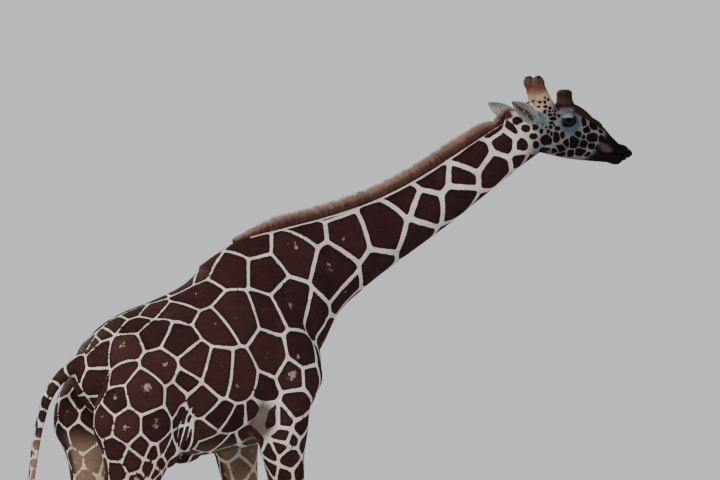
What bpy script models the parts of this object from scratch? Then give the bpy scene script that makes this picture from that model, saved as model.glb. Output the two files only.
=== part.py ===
"""A reticulated giraffe bull, life size, standing with its neck reaching forward to browse.

Metres, with +X towards the head, +Y the animal's left and +Z up. Everything is first placed with the
withers above X = 0, and centre_on_floor() then moves it so that the origin is the middle of the floor
under the box around the whole animal.
"""

import math

import bmesh
import bpy
import numpy as np
from mathutils import Matrix, Vector

# Gap left between two pieces that touch.
GAP = 0.0003

# The neck's heading turns to the animal's right by this much between these two distances.
NECK_BEND = math.radians(12)
BEND_START, BEND_END = 0.2, 1.9

# The head's own frame: its origin is the poll, its axis drops by HEAD_PITCH.
POLL_DISTANCE, POLL_HEIGHT = 1.96, 3.954
HEAD_PITCH = math.radians(17.5)

# Voxel sizes that the flesh is fused at, and the triangles that it keeps.
BODY_VOXEL, BODY_TRIANGLES = 0.016, 4200
HEAD_VOXEL, HEAD_TRIANGLES = 0.0055, 2500

# Trunk: x, top, bottom, half width, height of the widest place, sharpness of the back.
TRUNK = (
    (-1.215, 2.42, 2.28, 0.040, 2.34, 2.0),
    (-1.14, 2.52, 2.20, 0.110, 2.36, 2.0),
    (-1.02, 2.645, 2.10, 0.205, 2.38, 1.9),
    (-0.85, 2.735, 2.02, 0.300, 2.40, 1.8),
    (-0.62, 2.81, 1.93, 0.355, 2.36, 1.8),
    (-0.38, 2.91, 1.885, 0.372, 2.32, 1.8),
    (-0.15, 3.085, 1.905, 0.352, 2.32, 1.7),
    (0.03, 3.175, 1.93, 0.310, 2.32, 1.6),
    (0.20, 3.11, 1.97, 0.265, 2.32, 1.7),
    (0.38, 2.90, 2.07, 0.210, 2.36, 1.9),
    (0.50, 2.65, 2.20, 0.140, 2.40, 2.0),
    (0.565, 2.52, 2.33, 0.050, 2.42, 2.0),
)

# Neck: distance and height of the crest, the same of the throat, half width.
NECK = (
    (-0.28, 3.02, 0.25, 2.35, 0.200),
    (0.02, 3.180, 0.56, 2.50, 0.185),
    (0.30, 3.240, 0.70, 2.72, 0.152),
    (0.60, 3.305, 0.90, 2.885, 0.128),
    (0.95, 3.405, 1.18, 3.070, 0.110),
    (1.28, 3.550, 1.48, 3.265, 0.098),
    (1.60, 3.735, 1.77, 3.475, 0.089),
    (1.86, 3.884, 2.02, 3.655, 0.083),
    (2.02, 3.955, 2.14, 3.730, 0.074),
)

# Foreleg: x, distance from the middle, z, reach forward, reach back, half width.
FORELEG = (
    (0.06, 0.095, 3.02, 0.100, 0.100, 0.050),
    (0.12, 0.150, 2.75, 0.160, 0.160, 0.085),
    (0.20, 0.200, 2.45, 0.230, 0.200, 0.105),
    (0.19, 0.215, 2.33, 0.240, 0.215, 0.110),
    (0.15, 0.220, 2.20, 0.185, 0.210, 0.112),
    (0.135, 0.215, 2.02, 0.165, 0.185, 0.108),
    (0.150, 0.200, 1.88, 0.130, 0.150, 0.097),
    (0.165, 0.195, 1.75, 0.115, 0.120, 0.088),
    (0.185, 0.190, 1.50, 0.108, 0.105, 0.077),
    (0.190, 0.185, 1.25, 0.084, 0.082, 0.067),
    (0.200, 0.180, 1.08, 0.096, 0.088, 0.080),
    (0.195, 0.180, 0.97, 0.076, 0.078, 0.067),
    (0.185, 0.178, 0.85, 0.058, 0.060, 0.051),
    (0.180, 0.176, 0.55, 0.051, 0.055, 0.045),
    (0.178, 0.175, 0.38, 0.056, 0.063, 0.051),
    (0.175, 0.175, 0.30, 0.070, 0.080, 0.064),
    (0.205, 0.175, 0.21, 0.060, 0.062, 0.058),
    (0.235, 0.175, 0.13, 0.078, 0.082, 0.074),
    (0.245, 0.175, 0.05, 0.080, 0.085, 0.076),
)

# Hind leg, with the same columns.
HINDLEG = (
    (-0.76, 0.120, 2.62, 0.160, 0.160, 0.080),
    (-0.83, 0.190, 2.42, 0.260, 0.230, 0.125),
    (-0.905, 0.220, 2.20, 0.300, 0.285, 0.148),
    (-0.915, 0.222, 2.02, 0.285, 0.288, 0.142),
    (-0.885, 0.220, 1.90, 0.245, 0.255, 0.125),
    (-0.91, 0.215, 1.77, 0.200, 0.205, 0.110),
    (-0.985, 0.205, 1.55, 0.140, 0.150, 0.088),
    (-1.07, 0.198, 1.32, 0.095, 0.100, 0.067),
    (-1.13, 0.195, 1.15, 0.085, 0.105, 0.063),
    (-1.135, 0.195, 1.03, 0.082, 0.092, 0.067),
    (-1.125, 0.193, 0.90, 0.064, 0.068, 0.055),
    (-1.115, 0.190, 0.70, 0.052, 0.056, 0.046),
    (-1.105, 0.190, 0.45, 0.051, 0.055, 0.045),
    (-1.10, 0.190, 0.37, 0.057, 0.063, 0.051),
    (-1.10, 0.190, 0.295, 0.068, 0.078, 0.062),
    (-1.07, 0.190, 0.205, 0.058, 0.060, 0.057),
    (-1.04, 0.190, 0.13, 0.075, 0.080, 0.072),
    (-1.03, 0.190, 0.05, 0.078, 0.083, 0.074),
)

# How far each foot stands ahead of the tables above.
STEP = {"foreleg_right": 0.035, "foreleg_left": -0.025, "hindleg_right": -0.035, "hindleg_left": 0.04}

# Head, in its own frame: along, top, bottom, half width, height of the widest place.
HEAD = (
    (-0.09, -0.030, -0.200, 0.078, -0.11),
    (0.00, 0.002, -0.210, 0.084, -0.08),
    (0.10, 0.050, -0.205, 0.094, -0.03),
    (0.20, 0.092, -0.196, 0.098, 0.00),
    (0.28, 0.112, -0.188, 0.097, 0.01),
    (0.34, 0.116, -0.182, 0.092, 0.01),
    (0.41, 0.108, -0.172, 0.079, 0.00),
    (0.50, 0.095, -0.153, 0.065, -0.01),
    (0.56, 0.080, -0.138, 0.057, -0.02),
    (0.61, 0.052, -0.126, 0.054, -0.03),
    (0.66, 0.027, -0.114, 0.053, -0.03),
    (0.71, 0.009, -0.100, 0.053, -0.03),
    (0.755, 0.006, -0.068, 0.042, -0.028),
    (0.785, -0.006, -0.036, 0.018, -0.021),
)

EYE_ALONG, EYE_SIDE, EYE_UP, EYE_RADIUS = 0.284, 0.096, 0.040, 0.030
MOUTH_CORNER, MOUTH_END, MOUTH_UP, MOUTH_DEPTH, MOUTH_WIDTH = 0.60, 0.72, -0.049, 0.007, 0.007
BROW_DROP = math.radians(20)
NOSTRIL_ALONG, NOSTRIL_UP = 0.715, -0.006

# Ossicones: along and up at the base, distance from the middle, lean back, length, radii from base to knob.
PAIRED_ALONG, PAIRED_UP, PAIRED_SIDE = 0.190, 0.0, 0.044
PAIRED_LEAN, PAIRED_LENGTH = math.radians(37), 0.278
PAIRED_RADII = (0.058, 0.059, 0.057, 0.051, 0.042, 0.034, 0.028, 0.028, 0.019)
MIDDLE_ALONG, MIDDLE_UP, MIDDLE_LEAN, MIDDLE_LENGTH = 0.305, 0.060, math.radians(20), 0.165
MIDDLE_RADII = (0.078, 0.076, 0.068, 0.056, 0.046, 0.039, 0.036, 0.022)
OSSICONE_SPREAD = 0.07

EAR_ROOT, EAR_TIP = (0.100, 0.090, -0.040), (-0.137, 0.165, 0.010)
EAR_WIDTH, EAR_WALL = 0.050, 0.007

# The mane's locks: spacing along the crest, height, width, and the core that they grow from.
MANE_START, MANE_END, LOCK_SPACING = -0.04, 1.955, 0.076
MANE_HEIGHT, MANE_CORE, LOCK_WIDTH, LOCK_THICKNESS = 0.072, 0.034, 0.034, 0.0100

# The tail's middle line, with its radius, and its tuft.
TAIL = (
    (-1.05, 0.0, 2.50, 0.050),
    (-1.166, 0.0, 2.445, 0.046),
    (-1.245, 0.008, 2.40, 0.040),
    (-1.31, 0.02, 2.345, 0.036),
    (-1.385, 0.04, 2.235, 0.031),
    (-1.425, 0.065, 2.08, 0.027),
    (-1.45, 0.09, 1.88, 0.024),
    (-1.465, 0.11, 1.68, 0.022),
    (-1.47, 0.12, 1.48, 0.021),
    (-1.47, 0.12, 1.26, 0.014),
)
TUFT_TOP, TUFT_LOCKS, TUFT_LENGTH = 1.60, 13, 0.62

# Hooves: length, width of one claw, height of the coronet before and behind, gap between claws.
HOOF_LENGTH, CLAW_WIDTH, HOOF_FRONT, HOOF_BACK, CLAW_GAP = 0.225, 0.088, 0.128, 0.082, 0.008

# Where the named parts meet: neck and torso (below and above), the neck's own cuts and the middles of its
# three parts (distance and height), the ossicones from their bases, the ears from their roots.
SHOULDER_CUT = ((0.565, 2.47), (-0.01, 3.20))
NECK_CUTS = (0.84, 1.42)
NECK_PARTS = {"neck_lower": (0.42, 3.03), "neck_middle": (1.06, 3.255), "neck_upper": (1.66, 3.60)}
PAIRED_CUT, MIDDLE_CUT, EAR_CUT = 0.165, 0.100, 0.30

# The legs' cuts: x, height and forward tilt under the body, and the height above the foot.
LEG_CUTS = {"foreleg": (0.17, 1.86, 0.10, 0.90), "hindleg": (-0.90, 1.86, 0.25, 0.92)}

# The tail's cut at the rump: its middle and its direction.
TAIL_CUT, TAIL_CUT_WAY = (-1.285, 0.014, 2.368), (-0.77, 0.12, -0.63)

OBJECT_NAME = "reticulated_giraffe"
SIDES = {"right": -1, "left": 1}

# Finishes: name, colour and roughness, and the nodes that take each, by the start of their names.
FINISHES = {
    "hoof": ("hoof_horn", (0.10, 0.085, 0.070), 0.5),
    "eye": ("eye_brown", (0.015, 0.010, 0.008), 0.05),
    "ossicone": ("ossicone_skin", (0.10, 0.045, 0.028), 0.8),
    "tail_tuft": ("tail_hair", (0.02, 0.015, 0.013), 0.6),
    "": ("liver_brown_coat", (0.10, 0.035, 0.022), 0.75),
}


def clear_scene():
    for thing in list(bpy.data.objects):
        bpy.data.objects.remove(thing)


def smooth_step(value):
    value = np.clip(value, 0, 1)
    return value * value * (3 - 2 * value)


def eased(rows, count):
    """The rows of a table at count even steps of a smooth cubic through them, by its first three columns."""
    rows = np.array(rows, float)
    steps = np.linalg.norm(np.diff(rows[:, :3], axis=0), axis=1)
    reach = np.concatenate([[0], np.cumsum(steps)])
    slopes = np.gradient(rows, reach, axis=0)
    at = np.linspace(0, reach[-1], count)
    before = np.clip(np.searchsorted(reach, at, side="right") - 1, 0, len(rows) - 2)
    span = (reach[before + 1] - reach[before])[:, None]
    share = (at[:, None] - reach[before][:, None]) / span
    first = (1 + 2 * share) * (1 - share) ** 2 * rows[before] + share**2 * (3 - 2 * share) * rows[before + 1]
    bend = share * (1 - share) ** 2 * slopes[before] - share**2 * (1 - share) * slopes[before + 1]
    return first + bend * span


def new_object(name, points, faces):
    mesh = bpy.data.meshes.new(name)
    mesh.from_pydata([tuple(p) for p in points], [], [tuple(f) for f in faces])
    work = bmesh.new()
    work.from_mesh(mesh)
    bmesh.ops.recalc_face_normals(work, faces=work.faces)
    work.to_mesh(mesh)
    work.free()
    thing = bpy.data.objects.new(name, mesh)
    bpy.context.scene.collection.objects.link(thing)
    return thing


def rings_object(name, rings):
    """A closed solid through rings of equally many points, with its two ends capped."""
    count, around = rings.shape[:2]
    faces = []
    for ring in range(count - 1):
        for place in range(around):
            after = (place + 1) % around
            low, high = ring * around, (ring + 1) * around
            faces.append((low + place, low + after, high + after, high + place))
    faces.append(range(around))
    faces.append(range((count - 1) * around, count * around))
    return new_object(name, rings.reshape(-1, 3), faces)


def loft(name, centres, up, side, above, below, half, power=2.0, around=28):
    """A solid whose sections are ovals, square or pointed by power, with their own reach up and down."""
    angle = np.linspace(0, 2 * math.pi, around, endpoint=False)[None, :]
    share = 2 / np.broadcast_to(np.asarray(power, float), (len(centres),))[:, None]
    across = np.sign(np.cos(angle)) * np.abs(np.cos(angle)) ** share
    rise = np.sign(np.sin(angle)) * np.abs(np.sin(angle)) ** share
    across = across * np.asarray(half)[:, None]
    rise = rise * np.where(rise > 0, np.asarray(above)[:, None], np.asarray(below)[:, None])
    up = np.broadcast_to(up, centres.shape)
    side = np.broadcast_to(side, centres.shape)
    rings = centres[:, None] + across[..., None] * side[:, None] + rise[..., None] * up[:, None]
    return rings_object(name, rings)


def blob(name, centre, radii, turn=None):
    """An ellipsoid with these radii, turned about its centre."""
    work = bmesh.new()
    place = Matrix.Translation(centre) @ (turn or Matrix.Identity(4)) @ Matrix.Diagonal((*radii, 1))
    bmesh.ops.create_uvsphere(work, u_segments=20, v_segments=12, radius=1, matrix=place)
    mesh = bpy.data.meshes.new(name)
    work.to_mesh(mesh)
    work.free()
    thing = bpy.data.objects.new(name, mesh)
    bpy.context.scene.collection.objects.link(thing)
    return thing


def neck_plan(distance):
    """Plan position and heading of the neck at horizontal distances from the withers."""
    fine = np.linspace(-0.4, 2.9, 661)
    heading = -NECK_BEND * smooth_step((fine - BEND_START) / (BEND_END - BEND_START))
    step = fine[1] - fine[0]
    along = np.cumsum(np.cos(heading)) * step
    aside = np.cumsum(np.sin(heading)) * step
    along -= np.interp(0, fine, along)
    aside -= np.interp(0, fine, aside)
    places = [np.interp(distance, fine, row) for row in (along, aside, heading)]
    return np.array(places)


def on_neck(distance, height):
    """The point on the neck's own upright middle surface."""
    along, aside, _ = neck_plan(distance)
    return np.stack([along, aside, np.asarray(height, float)], axis=-1)


def head_matrix():
    """From the head's own frame (along, left, up) to the animal's."""
    along, aside, heading = neck_plan(POLL_DISTANCE)
    turn = Matrix.Rotation(heading, 4, "Z") @ Matrix.Rotation(HEAD_PITCH, 4, "Y")
    return Matrix.Translation((along, aside, POLL_HEIGHT)) @ turn


def make_trunk():
    x, top, bottom, half, middle, power = eased(TRUNK, 60).T
    centres = np.stack([x, 0 * x, middle], axis=1)
    return loft("trunk", centres, (0, 0, 1), (0, 1, 0), top - middle, middle - bottom, half, power, 44)


def neck_sections(count):
    """Centres, up axes, side axes, half depths and half widths of the neck's sections."""
    crest_at, crest, throat_at, throat, half = eased(NECK, count).T
    high, low = on_neck(crest_at, crest), on_neck(throat_at, throat)
    depth = np.linalg.norm(high - low, axis=1)
    heading = neck_plan((crest_at + throat_at) / 2)[2]
    side = np.stack([-np.sin(heading), np.cos(heading), 0 * heading], axis=1)
    return (high + low) / 2, (high - low) / depth[:, None], side, depth / 2, half


def make_neck():
    centres, up, side, depth, half = neck_sections(60)
    widest = 0.18 * depth
    return loft("neck", centres - up * widest[:, None], up, side, depth + widest, depth - widest, half, 1.9, 36)


def make_leg(name, table, sign):
    x, y, z, front, back, half = eased(table, 90).T
    x = x + STEP[name] * smooth_step((2.65 - z) / 1.1)
    centres = np.stack([x, sign * y, z], axis=1)
    return loft(name, centres, (1, 0, 0), (0, 1, 0), front, back, half, 2.1, 28)


def make_bumps():
    """Bones and muscles that stand out of the plain lofts."""
    lean = Matrix.Rotation(math.radians(-24), 4, "Y")
    upright = Matrix.Rotation(math.radians(18), 4, "Y")
    made = [blob("sheath", (-0.40, 0, 1.885), (0.12, 0.035, 0.045), Matrix.Rotation(math.radians(-12), 4, "Y"))]
    for side, sign in SIDES.items():
        fore, hind = STEP["foreleg_" + side], STEP["hindleg_" + side]
        made += [
            blob("hip_bone", (-0.66, sign * 0.190, 2.64), (0.17, 0.075, 0.085), lean),
            blob("rump_muscle", (-0.90, sign * 0.165, 2.46), (0.19, 0.11, 0.15), lean),
            blob("shoulder_blade", (0.04, sign * 0.125, 2.76), (0.15, 0.085, 0.27), upright),
            blob("shoulder_point", (0.325, sign * 0.155, 2.40), (0.115, 0.10, 0.15)),
            blob("upper_arm", (0.05, sign * 0.225, 2.16), (0.17, 0.09, 0.21)),
            blob("flank_fold", (-0.60, sign * 0.235, 2.03), (0.13, 0.055, 0.13)),
            blob("knee_front", (0.255 + fore * 0.8, sign * 0.180, 1.09), (0.042, 0.055, 0.085)),
            blob("heel_bone", (-1.205 + hind * 0.8, sign * 0.195, 1.165), (0.052, 0.036, 0.085), upright),
            blob("heel_cord", (-1.170 + hind * 0.7, sign * 0.197, 1.33), (0.030, 0.024, 0.20), upright),
            blob("stifle", (-0.70 + hind * 0.4, sign * 0.235, 1.93), (0.085, 0.075, 0.12)),
        ]
    return made


def make_head_pieces():
    """The skull, muzzle, cheeks, brows and ossicones, in the head's own frame."""
    along, top, bottom, half, middle = eased(HEAD, 70).T
    centres = np.stack([along, 0 * along, middle], axis=1)
    made = [loft("skull", centres, (0, 0, 1), (0, 1, 0), top - middle, middle - bottom, half, 2.15, 40)]
    made.append(ossicone("ossicone_middle", MIDDLE_ALONG, 0, MIDDLE_UP, MIDDLE_LEAN, MIDDLE_LENGTH, MIDDLE_RADII))
    made.append(blob("brow_ridge", (0.43, 0, 0.078), (0.13, 0.040, 0.036)))
    made.append(blob("brow_slope", (0.330, 0, 0.095), (0.085, 0.050, 0.050), Matrix.Rotation(BROW_DROP, 4, "Y")))
    made.append(blob("nose_slope", (0.410, 0, 0.098), (0.115, 0.042, 0.040), Matrix.Rotation(BROW_DROP, 4, "Y")))
    made.append(blob("nose_pad", (0.745, 0, -0.020), (0.050, 0.043, 0.027)))
    made.append(blob("chin", (0.680, 0, -0.088), (0.060, 0.034, 0.028)))
    made.append(blob("skull_back", (0.075, 0, 0.035), (0.075, 0.070, 0.040)))
    for sign in SIDES.values():
        made += [
            ossicone("ossicone", PAIRED_ALONG, sign * PAIRED_SIDE, PAIRED_UP, PAIRED_LEAN, PAIRED_LENGTH, PAIRED_RADII),
            blob("orbit", (EYE_ALONG, sign * 0.074, EYE_UP + 0.002), (0.066, 0.041, 0.048)),
            blob("jaw_muscle", (0.255, sign * 0.058, -0.085), (0.110, 0.042, 0.095)),
            blob("cheek", (0.44, sign * 0.042, -0.075), (0.150, 0.030, 0.055)),
            blob("nostril_wing", (0.710, sign * 0.036, -0.012), (0.042, 0.020, 0.026)),
            blob("lip", (0.710, sign * 0.030, -0.034), (0.062, 0.025, 0.022)),
            blob("ear_base", (0.100, sign * 0.078, -0.030), (0.045, 0.035, 0.045)),
        ]
    return made


def ossicone(name, along, aside, up, lean, length, radii):
    """A horn core covered in skin: a round loft that narrows from its base and ends in a knob."""
    share = np.linspace(0, 1, len(radii))
    rows = np.stack([share * length, 0 * share, 0 * share, np.array(radii)], axis=1)
    reach, _, _, radius = eased(rows, 22).T
    axis = np.array([-math.sin(lean), OSSICONE_SPREAD * np.sign(aside), math.cos(lean)])
    centres = np.array([along, aside, up]) + reach[:, None] * axis
    front = np.array([math.cos(lean), 0, math.sin(lean)])
    return loft(name, centres, front, (0, 1, 0), radius * 1.12, radius * 1.12, radius, 2.0, 24)


def evaluated_copy(thing, name):
    """A plain mesh object of what the modifiers make of this one, which is then removed."""
    bpy.context.view_layer.update()
    graph = bpy.context.evaluated_depsgraph_get()
    mesh = bpy.data.meshes.new_from_object(thing.evaluated_get(graph))
    bpy.data.objects.remove(thing)
    mesh.name = name
    made = bpy.data.objects.new(name, mesh)
    bpy.context.scene.collection.objects.link(made)
    return made


def fuse(name, pieces, voxel):
    """One closed skin round all the pieces."""
    work = bmesh.new()
    for piece in pieces:
        work.from_mesh(piece.data)
        bpy.data.objects.remove(piece)
    mesh = bpy.data.meshes.new(name)
    work.to_mesh(mesh)
    work.free()
    thing = bpy.data.objects.new(name, mesh)
    bpy.context.scene.collection.objects.link(thing)
    skin = thing.modifiers.new("skin", "REMESH")
    skin.mode = "VOXEL"
    skin.voxel_size = voxel
    return evaluated_copy(thing, name)


def points_of(mesh):
    flat = np.empty(len(mesh.vertices) * 3, np.float32)
    mesh.vertices.foreach_get("co", flat)
    return flat.reshape(-1, 3).astype(float)


def set_points(mesh, points):
    mesh.vertices.foreach_set("co", points.astype(np.float32).ravel())
    mesh.update()


def edges_of(mesh):
    flat = np.empty(len(mesh.edges) * 2, np.int32)
    mesh.edges.foreach_get("vertices", flat)
    return flat.reshape(-1, 2)


def neighbour_step(points, edges, count):
    """From each point to the middle of its neighbours."""
    ends = np.concatenate([edges, edges[:, ::-1]])
    total = np.stack([np.bincount(ends[:, 0], points[ends[:, 1], k], len(points)) for k in range(3)], axis=1)
    return total / count[:, None] - points


def relax(thing, rounds, zones, zone_rounds):
    """Evens the skin without shrinking it, and melts the creases inside the zones (centre, radius)."""
    points, edges = points_of(thing.data), edges_of(thing.data)
    count = np.bincount(edges.ravel(), minlength=len(points))
    melt = np.zeros(len(points))
    for centre, radius in zones:
        away = np.linalg.norm(points - np.array(centre), axis=1) / radius
        melt = np.maximum(melt, smooth_step(1.6 - 1.6 * away))
    for _ in range(zone_rounds):
        points += 0.5 * melt[:, None] * neighbour_step(points, edges, count)
    for _ in range(rounds):
        points += 0.50 * neighbour_step(points, edges, count)
        points -= 0.52 * neighbour_step(points, edges, count)
    set_points(thing.data, points)


def thin_out(thing, triangles):
    """Keeps about this many triangles, and mends the few edges that the thinning leaves doubled."""
    thing.data.calc_loop_triangles()
    fewer = thing.modifiers.new("fewer", "DECIMATE")
    fewer.ratio = triangles / len(thing.data.loop_triangles)
    fewer.use_collapse_triangulate = True
    made = evaluated_copy(thing, thing.name)
    work = bmesh.new()
    work.from_mesh(made.data)
    for _ in range(4):
        doubled = {vert for edge in work.edges if not edge.is_manifold for vert in edge.verts}
        if not doubled:
            break
        bmesh.ops.delete(work, geom=list(doubled), context="VERTS")
        bmesh.ops.holes_fill(work, edges=[edge for edge in work.edges if edge.is_boundary])
        bmesh.ops.triangulate(work, faces=work.faces)
    bmesh.ops.recalc_face_normals(work, faces=work.faces)
    work.to_mesh(made.data)
    work.free()
    return made


def combined(target, others, operation, solver="MANIFOLD"):
    """The target joined with, or cut by, all the others in one Boolean."""
    group = bpy.data.collections.new("operands")
    bpy.context.scene.collection.children.link(group)
    for other in others:
        for home in list(other.users_collection):
            home.objects.unlink(other)
        group.objects.link(other)
    cut = target.modifiers.new("cut", "BOOLEAN")
    cut.operation = operation
    cut.solver = solver
    cut.operand_type = "COLLECTION"
    cut.collection = group
    made = evaluated_copy(target, target.name)
    for other in list(group.objects):
        bpy.data.objects.remove(other)
    bpy.data.collections.remove(group)
    return made


def slab(centre, normal, reach, across=None, thickness=GAP, shift=0.0):
    """A thin square plate that parts a limb: reach and across are its half sizes."""
    upward = Vector(normal).normalized()
    forward = Vector((0, 1, 0)).cross(upward).normalized()
    turn = Matrix((forward, upward.cross(forward), upward)).transposed().to_4x4()
    sizes = Matrix.Diagonal((2 * reach, 2 * (across or reach), thickness, 1))
    place = Matrix.Translation(centre) @ turn @ Matrix.Translation((0, 0, shift)) @ sizes
    work = bmesh.new()
    bmesh.ops.create_cube(work, size=1, matrix=place)
    mesh = bpy.data.meshes.new("slab")
    work.to_mesh(mesh)
    work.free()
    thing = bpy.data.objects.new("slab", mesh)
    bpy.context.scene.collection.objects.link(thing)
    return thing


def beyond(centre, normal, size):
    """A block that starts half a gap short of a plane, to cut off all that lies past it."""
    return slab(centre, normal, size, None, size, size / 2 - GAP / 2)


def loose_parts(thing):
    """The closed surfaces of a mesh, as lists of its faces, largest first."""
    mesh = thing.data
    parent = np.arange(len(mesh.vertices))
    edges = edges_of(mesh)
    while True:
        low = np.minimum(parent[edges[:, 0]], parent[edges[:, 1]])
        before = parent.copy()
        np.minimum.at(parent, edges[:, 0], low)
        np.minimum.at(parent, edges[:, 1], low)
        parent = parent[parent]
        if (parent == before).all():
            break
    points = points_of(mesh)
    found = []
    for root in np.unique(parent):
        members = np.flatnonzero(parent == root)
        extent = np.ptp(points[members], axis=0)
        found.append((float(np.prod(extent)), members))
    found.sort(key=lambda item: -item[0])
    return [members for _, members in found]


def take_part(thing, members, name):
    """A new object of some of a mesh's vertices and the faces between them."""
    work = bmesh.new()
    work.from_mesh(thing.data)
    work.verts.ensure_lookup_table()
    keep = set(members.tolist())
    bmesh.ops.delete(work, geom=[v for v in work.verts if v.index not in keep], context="VERTS")
    bmesh.ops.triangulate(work, faces=work.faces)
    mesh = bpy.data.meshes.new(name)
    work.to_mesh(mesh)
    work.free()
    made = bpy.data.objects.new(name, mesh)
    bpy.context.scene.collection.objects.link(made)
    return made


def name_parts(thing, anchors):
    """Parts the mesh into its closed surfaces, each named by the anchor point nearest to its middle."""
    points = points_of(thing.data)
    parts = loose_parts(thing)
    middles = np.array([(points[m].min(axis=0) + points[m].max(axis=0)) / 2 for m in parts[: len(anchors)]])
    made, used = {}, []
    for name, anchor in anchors.items():
        away = np.linalg.norm(middles - np.array(anchor), axis=1)
        away[used] = np.inf
        used.append(int(np.argmin(away)))
        made[name] = take_part(thing, parts[used[-1]], name)
    bpy.data.objects.remove(thing)
    return made


def crest_frame(distance):
    """The crest's point, forward direction, outward direction and side direction at distances along it."""
    crest_at, crest = eased(NECK, 200)[:, :2].T
    height = np.interp(distance, crest_at, crest)
    step = 0.02
    ahead = np.interp(distance + step, crest_at, crest)
    point = on_neck(distance, height)
    forward = on_neck(distance + step, ahead) - point
    forward /= np.linalg.norm(forward, axis=-1, keepdims=True)
    heading = neck_plan(distance)[2]
    side = np.stack([-np.sin(heading), np.cos(heading), 0 * heading], axis=-1)
    return point, forward, np.cross(forward, side), side


def mane_height(distance):
    """The mane stands lower at the withers and at the poll."""
    rise = smooth_step((distance - MANE_START) / 0.35)
    fall = smooth_step((MANE_END - distance) / 0.12)
    return MANE_HEIGHT * (0.35 + 0.65 * rise) * (0.7 + 0.3 * fall)


def make_mane():
    """A low core along the crest, and two staggered rows of flat, tapered locks that lean back."""
    at = np.linspace(MANE_START, MANE_END, 50)
    point, _, out, side = crest_frame(at)
    height = mane_height(at) / MANE_HEIGHT * MANE_CORE
    made = [loft("core", point, out, side, height, 0 * at + 0.05, 0 * at + 0.021, 2.0, 10)]
    chance = np.random.default_rng(5)
    rows = np.arange(MANE_START + 0.02, MANE_END - 0.012, LOCK_SPACING)
    for row, sign in enumerate((-1, 1)):
        for distance in rows + row * LOCK_SPACING / 2:
            made.append(mane_lock(distance, sign, chance))
    return made


def mane_lock(distance, sign, chance):
    point, forward, out, side = crest_frame(np.array(min(distance, MANE_END - 0.01)))
    height = float(mane_height(np.array(distance))) * chance.uniform(0.88, 1.08)
    lean = chance.uniform(0.16, 0.34)
    share = np.array([-0.35, 0.35, 0.75, 1.0])
    width = np.array([1.0, 1.1, 1.0, 0.42]) * LOCK_WIDTH
    thick = np.array([1.0, 1.0, 0.70, 0.20]) * LOCK_THICKNESS
    root = point + side * sign * 0.0105
    spread = side * sign * chance.uniform(0.05, 0.13)
    centres = root + height * share[:, None] * (out + spread)
    centres = centres - (height * lean * np.clip(share, 0, 1) ** 1.6)[:, None] * forward
    return loft("lock", centres, forward, side, width, width, thick, 2.0, 4)


def make_tail_stem():
    x, y, z, radius = eased(TAIL, 34).T
    centres = np.stack([x, y, z], axis=1)
    run = np.gradient(centres, axis=0)
    run /= np.linalg.norm(run, axis=1, keepdims=True)
    side = np.tile(np.array([0.0, 1.0, 0.0]), (len(x), 1))
    up = np.cross(run, side)
    up /= np.linalg.norm(up, axis=1, keepdims=True)
    return loft("tail", centres, up, side, radius, radius, radius * 0.92, 2.0, 10)


def make_tuft():
    """Long flat locks that hang from the last third of the tail, in a spiral of starts."""
    chance = np.random.default_rng(11)
    x, y, z, _ = eased(TAIL, 200).T
    made = []
    for number in range(TUFT_LOCKS):
        share = number / (TUFT_LOCKS - 1)
        start = TUFT_TOP - 0.30 * share
        root = np.array([np.interp(start, z[::-1], row[::-1]) for row in (x, y, z)])
        turn = number * 2.399963
        outward = np.array([math.cos(turn), math.sin(turn), 0])
        around = np.array([-math.sin(turn), math.cos(turn), 0])
        length = TUFT_LENGTH * (1 - 0.30 * share) * chance.uniform(0.86, 1.05)
        reach = chance.uniform(0.030, 0.062)
        down = np.array([-0.03, 0.12, 0.40, 0.72, 1.0])
        bulge = np.array([0.10, 0.62, 1.0, 0.85, 0.45]) * reach
        sway = chance.uniform(-0.02, 0.02)
        centres = root + outward * bulge[:, None] + around * (sway * down**2)[:, None]
        centres[:, 2] -= down * length
        width = np.array([0.6, 1.0, 1.0, 0.7, 0.10]) * 0.0150
        thick = np.array([0.8, 1.0, 0.9, 0.7, 0.15]) * 0.0070
        made.append(loft("lock", centres, outward, around, thick, thick, width, 2.0, 4))
    return made


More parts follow.
